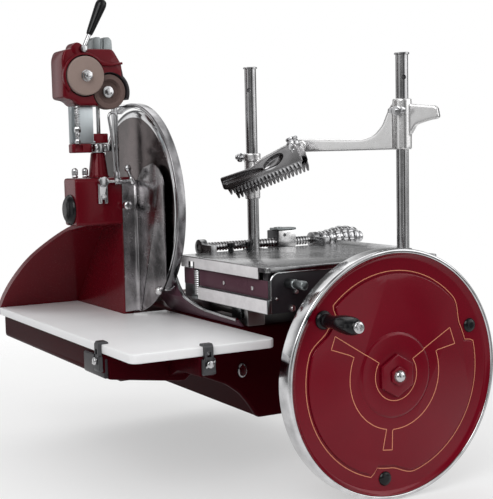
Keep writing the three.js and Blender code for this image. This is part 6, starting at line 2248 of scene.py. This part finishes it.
@dataclass
class Studio:
    """Floor, lamps, world and camera."""

    floor_z: float = -102.5
    floor_reach: float = 2.2
    lamp_power: tuple[float, float, float] = (34.0, 16.0, 14.0)
    lamp_aim: Point3 = (-0.08, -0.05, 0.22)
    room_light: float = 0.67
    bank_scale: float = 2.6
    camera_spot: Point3 = (-1004.8, -1708.2, 425.6)
    right: Point3 = (0.88567, -0.46355, -0.02656)
    down: Point3 = (-0.07093, -0.07855, -0.99438)
    ahead: Point3 = (0.45886, 0.88258, -0.10245)
    sensor: float = 36.0
    focal_pixels: float = 1108.9
    middle: Point2 = (200.5, 266.9)
    image: tuple[int, int] = (493, 499)

    def build(self) -> None:
        """Build the studio."""
        self.floor()
        self.lamps()
        self.world()
        self.camera()

    def floor(self) -> None:
        """Lay a plain pale floor that keeps the shadow and fades into the white room."""
        mesh = bpy.data.meshes.new("studio_floor")
        z, reach = self.floor_z * MM, self.floor_reach
        corners = [(-reach, -reach, z), (reach, -reach, z), (reach, reach, z), (-reach, reach, z)]
        mesh.from_pydata(corners, [], [(0, 1, 2, 3)])
        ground = bpy.data.objects.new("studio_floor", mesh)
        bpy.context.scene.collection.objects.link(ground)
        material = bpy.data.materials.new("studio_floor_paper")
        material.use_nodes = True
        graph = Graph(material.node_tree)
        tint = graph.mix(graph.noise(3.0, 2.0), (0.90, 0.90, 0.90), (0.93, 0.93, 0.93))
        paper = graph.node("ShaderNodeBsdfDiffuse", None, {"Color": tint})
        glow = graph.node("ShaderNodeEmission", None, {"Color": (1.0, 1.0, 1.0, 1.0), "Strength": 1.0})
        shown = graph.node("ShaderNodeMixShader", None, {0: 0.45 * self.seen(graph), 1: paper, 2: glow})
        away = graph.node("ShaderNodeVectorMath", {"operation": "LENGTH"}, {0: graph.place()}, "Value")
        fade = graph.ramp(away * 0.5, (0.36, 0.0), (0.72, 1.0))
        clear = graph.node("ShaderNodeBsdfTransparent")
        graph.node_out(graph.node("ShaderNodeMixShader", None, {0: fade, 1: shown, 2: clear}))
        mesh.materials.append(material)

    @staticmethod
    def seen(graph: Graph) -> Wire:
        """Tell apart the rays that should find the background white.

        Args:
            graph: Tree to ask in.

        Returns:
            1 for such rays, else 0.
        """
        ray = "ShaderNodeLightPath"
        seen = graph.node(ray, output="Is Camera Ray") + graph.node(ray, output="Is Transmission Ray")
        return seen + graph.node(ray, output="Is Glossy Ray")

    def lamps(self) -> None:
        """Hang three soft lamps."""
        for name, spot, size, power in (
            ("lamp_key", (-1.9, -1.6, 1.9), 1.8, self.lamp_power[0]),
            ("lamp_fill", (1.9, -1.9, 1.3), 1.8, self.lamp_power[1]),
            ("lamp_top", (0.1, 0.9, 2.3), 2.2, self.lamp_power[2]),
        ):
            light = bpy.data.lights.new(name, "AREA")
            light.shape = "SQUARE"
            light.size = size
            light.energy = power
            lamp = bpy.data.objects.new(name, light)
            lamp.location = spot
            aim = Vector(self.lamp_aim) - Vector(spot)
            lamp.rotation_euler = aim.to_track_quat("-Z", "Y").to_euler()
            bpy.context.scene.collection.objects.link(lamp)

    def world(self) -> None:
        """Surround the object with a soft grey room that is seen as white."""
        world = bpy.data.worlds.new("studio_room")
        world.use_nodes = True
        bpy.context.scene.world = world
        graph = Graph(world.node_tree)
        heading = graph.node("ShaderNodeTexCoord", output="Generated")
        lift = graph.node("ShaderNodeSeparateXYZ", None, {0: heading}, "Z")
        room = graph.ramp(0.5 * lift + 0.5, (0.0, 0.35), (0.45, 0.40), (0.60, 0.7), (1.0, 0.9))
        lit = graph.node("ShaderNodeBackground", None, {"Color": room, "Strength": self.room_light})
        stretched = graph.node(
            "ShaderNodeVectorMath", {"operation": "MULTIPLY"}, {0: heading, 1: (1.0, 1.0, 0.4)},
        )
        banks = graph.ramp(
            graph.noise(self.bank_scale, 1.0, 0.4, stretched),
            (0.42, 0.12),
            (0.53, 0.45),
            (0.61, 1.0),
        )
        mirrored = graph.node("ShaderNodeLightPath", output="Is Glossy Ray")
        pale = graph.mix(mirrored, (1.0, 1.0, 1.0), banks)
        white = graph.node("ShaderNodeBackground", None, {"Color": pale, "Strength": 1.0})
        both = graph.node("ShaderNodeMixShader", None, {0: self.seen(graph), 1: lit, 2: white})
        out = graph.tree.nodes.new("ShaderNodeOutputWorld")
        graph.tree.links.new(both.socket, out.inputs["Surface"])

    def camera(self) -> None:
        """Set the camera where the photograph was taken."""
        lens = bpy.data.cameras.new("camera")
        width, height = self.image
        largest = max(width, height)
        lens.sensor_width = self.sensor
        lens.lens = self.focal_pixels / largest * self.sensor
        lens.shift_x = (width / 2 - self.middle[0]) / largest
        lens.shift_y = (self.middle[1] - height / 2) / largest
        lens.clip_start = 0.05
        lens.clip_end = 100.0
        eye = bpy.data.objects.new("camera", lens)
        columns = (Vector(self.right), -Vector(self.down), -Vector(self.ahead))
        turn = Matrix(columns).transposed().to_4x4()
        eye.matrix_world = Matrix.Translation(Vector(self.camera_spot) * MM) @ turn
        bpy.context.scene.collection.objects.link(eye)
        bpy.context.scene.camera = eye


def main() -> None:
    """Build the slicer and its studio."""
    logging.basicConfig(level=logging.INFO, format="%(message)s")
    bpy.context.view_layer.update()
    bpy.context.scene.view_settings.view_transform = "Standard"
    for assembly in (
        Studio(),
        BaseCasting(),
        Flywheel(),
        KnifeHead(),
        Board(),
        Carriage(),
        Table(),
        Clamp(),
        Sharpener(),
        Linkage(),
    ):
        assembly.build()
        LOG.info("built %s", type(assembly).__name__)


if __name__ == "__main__":
    main()
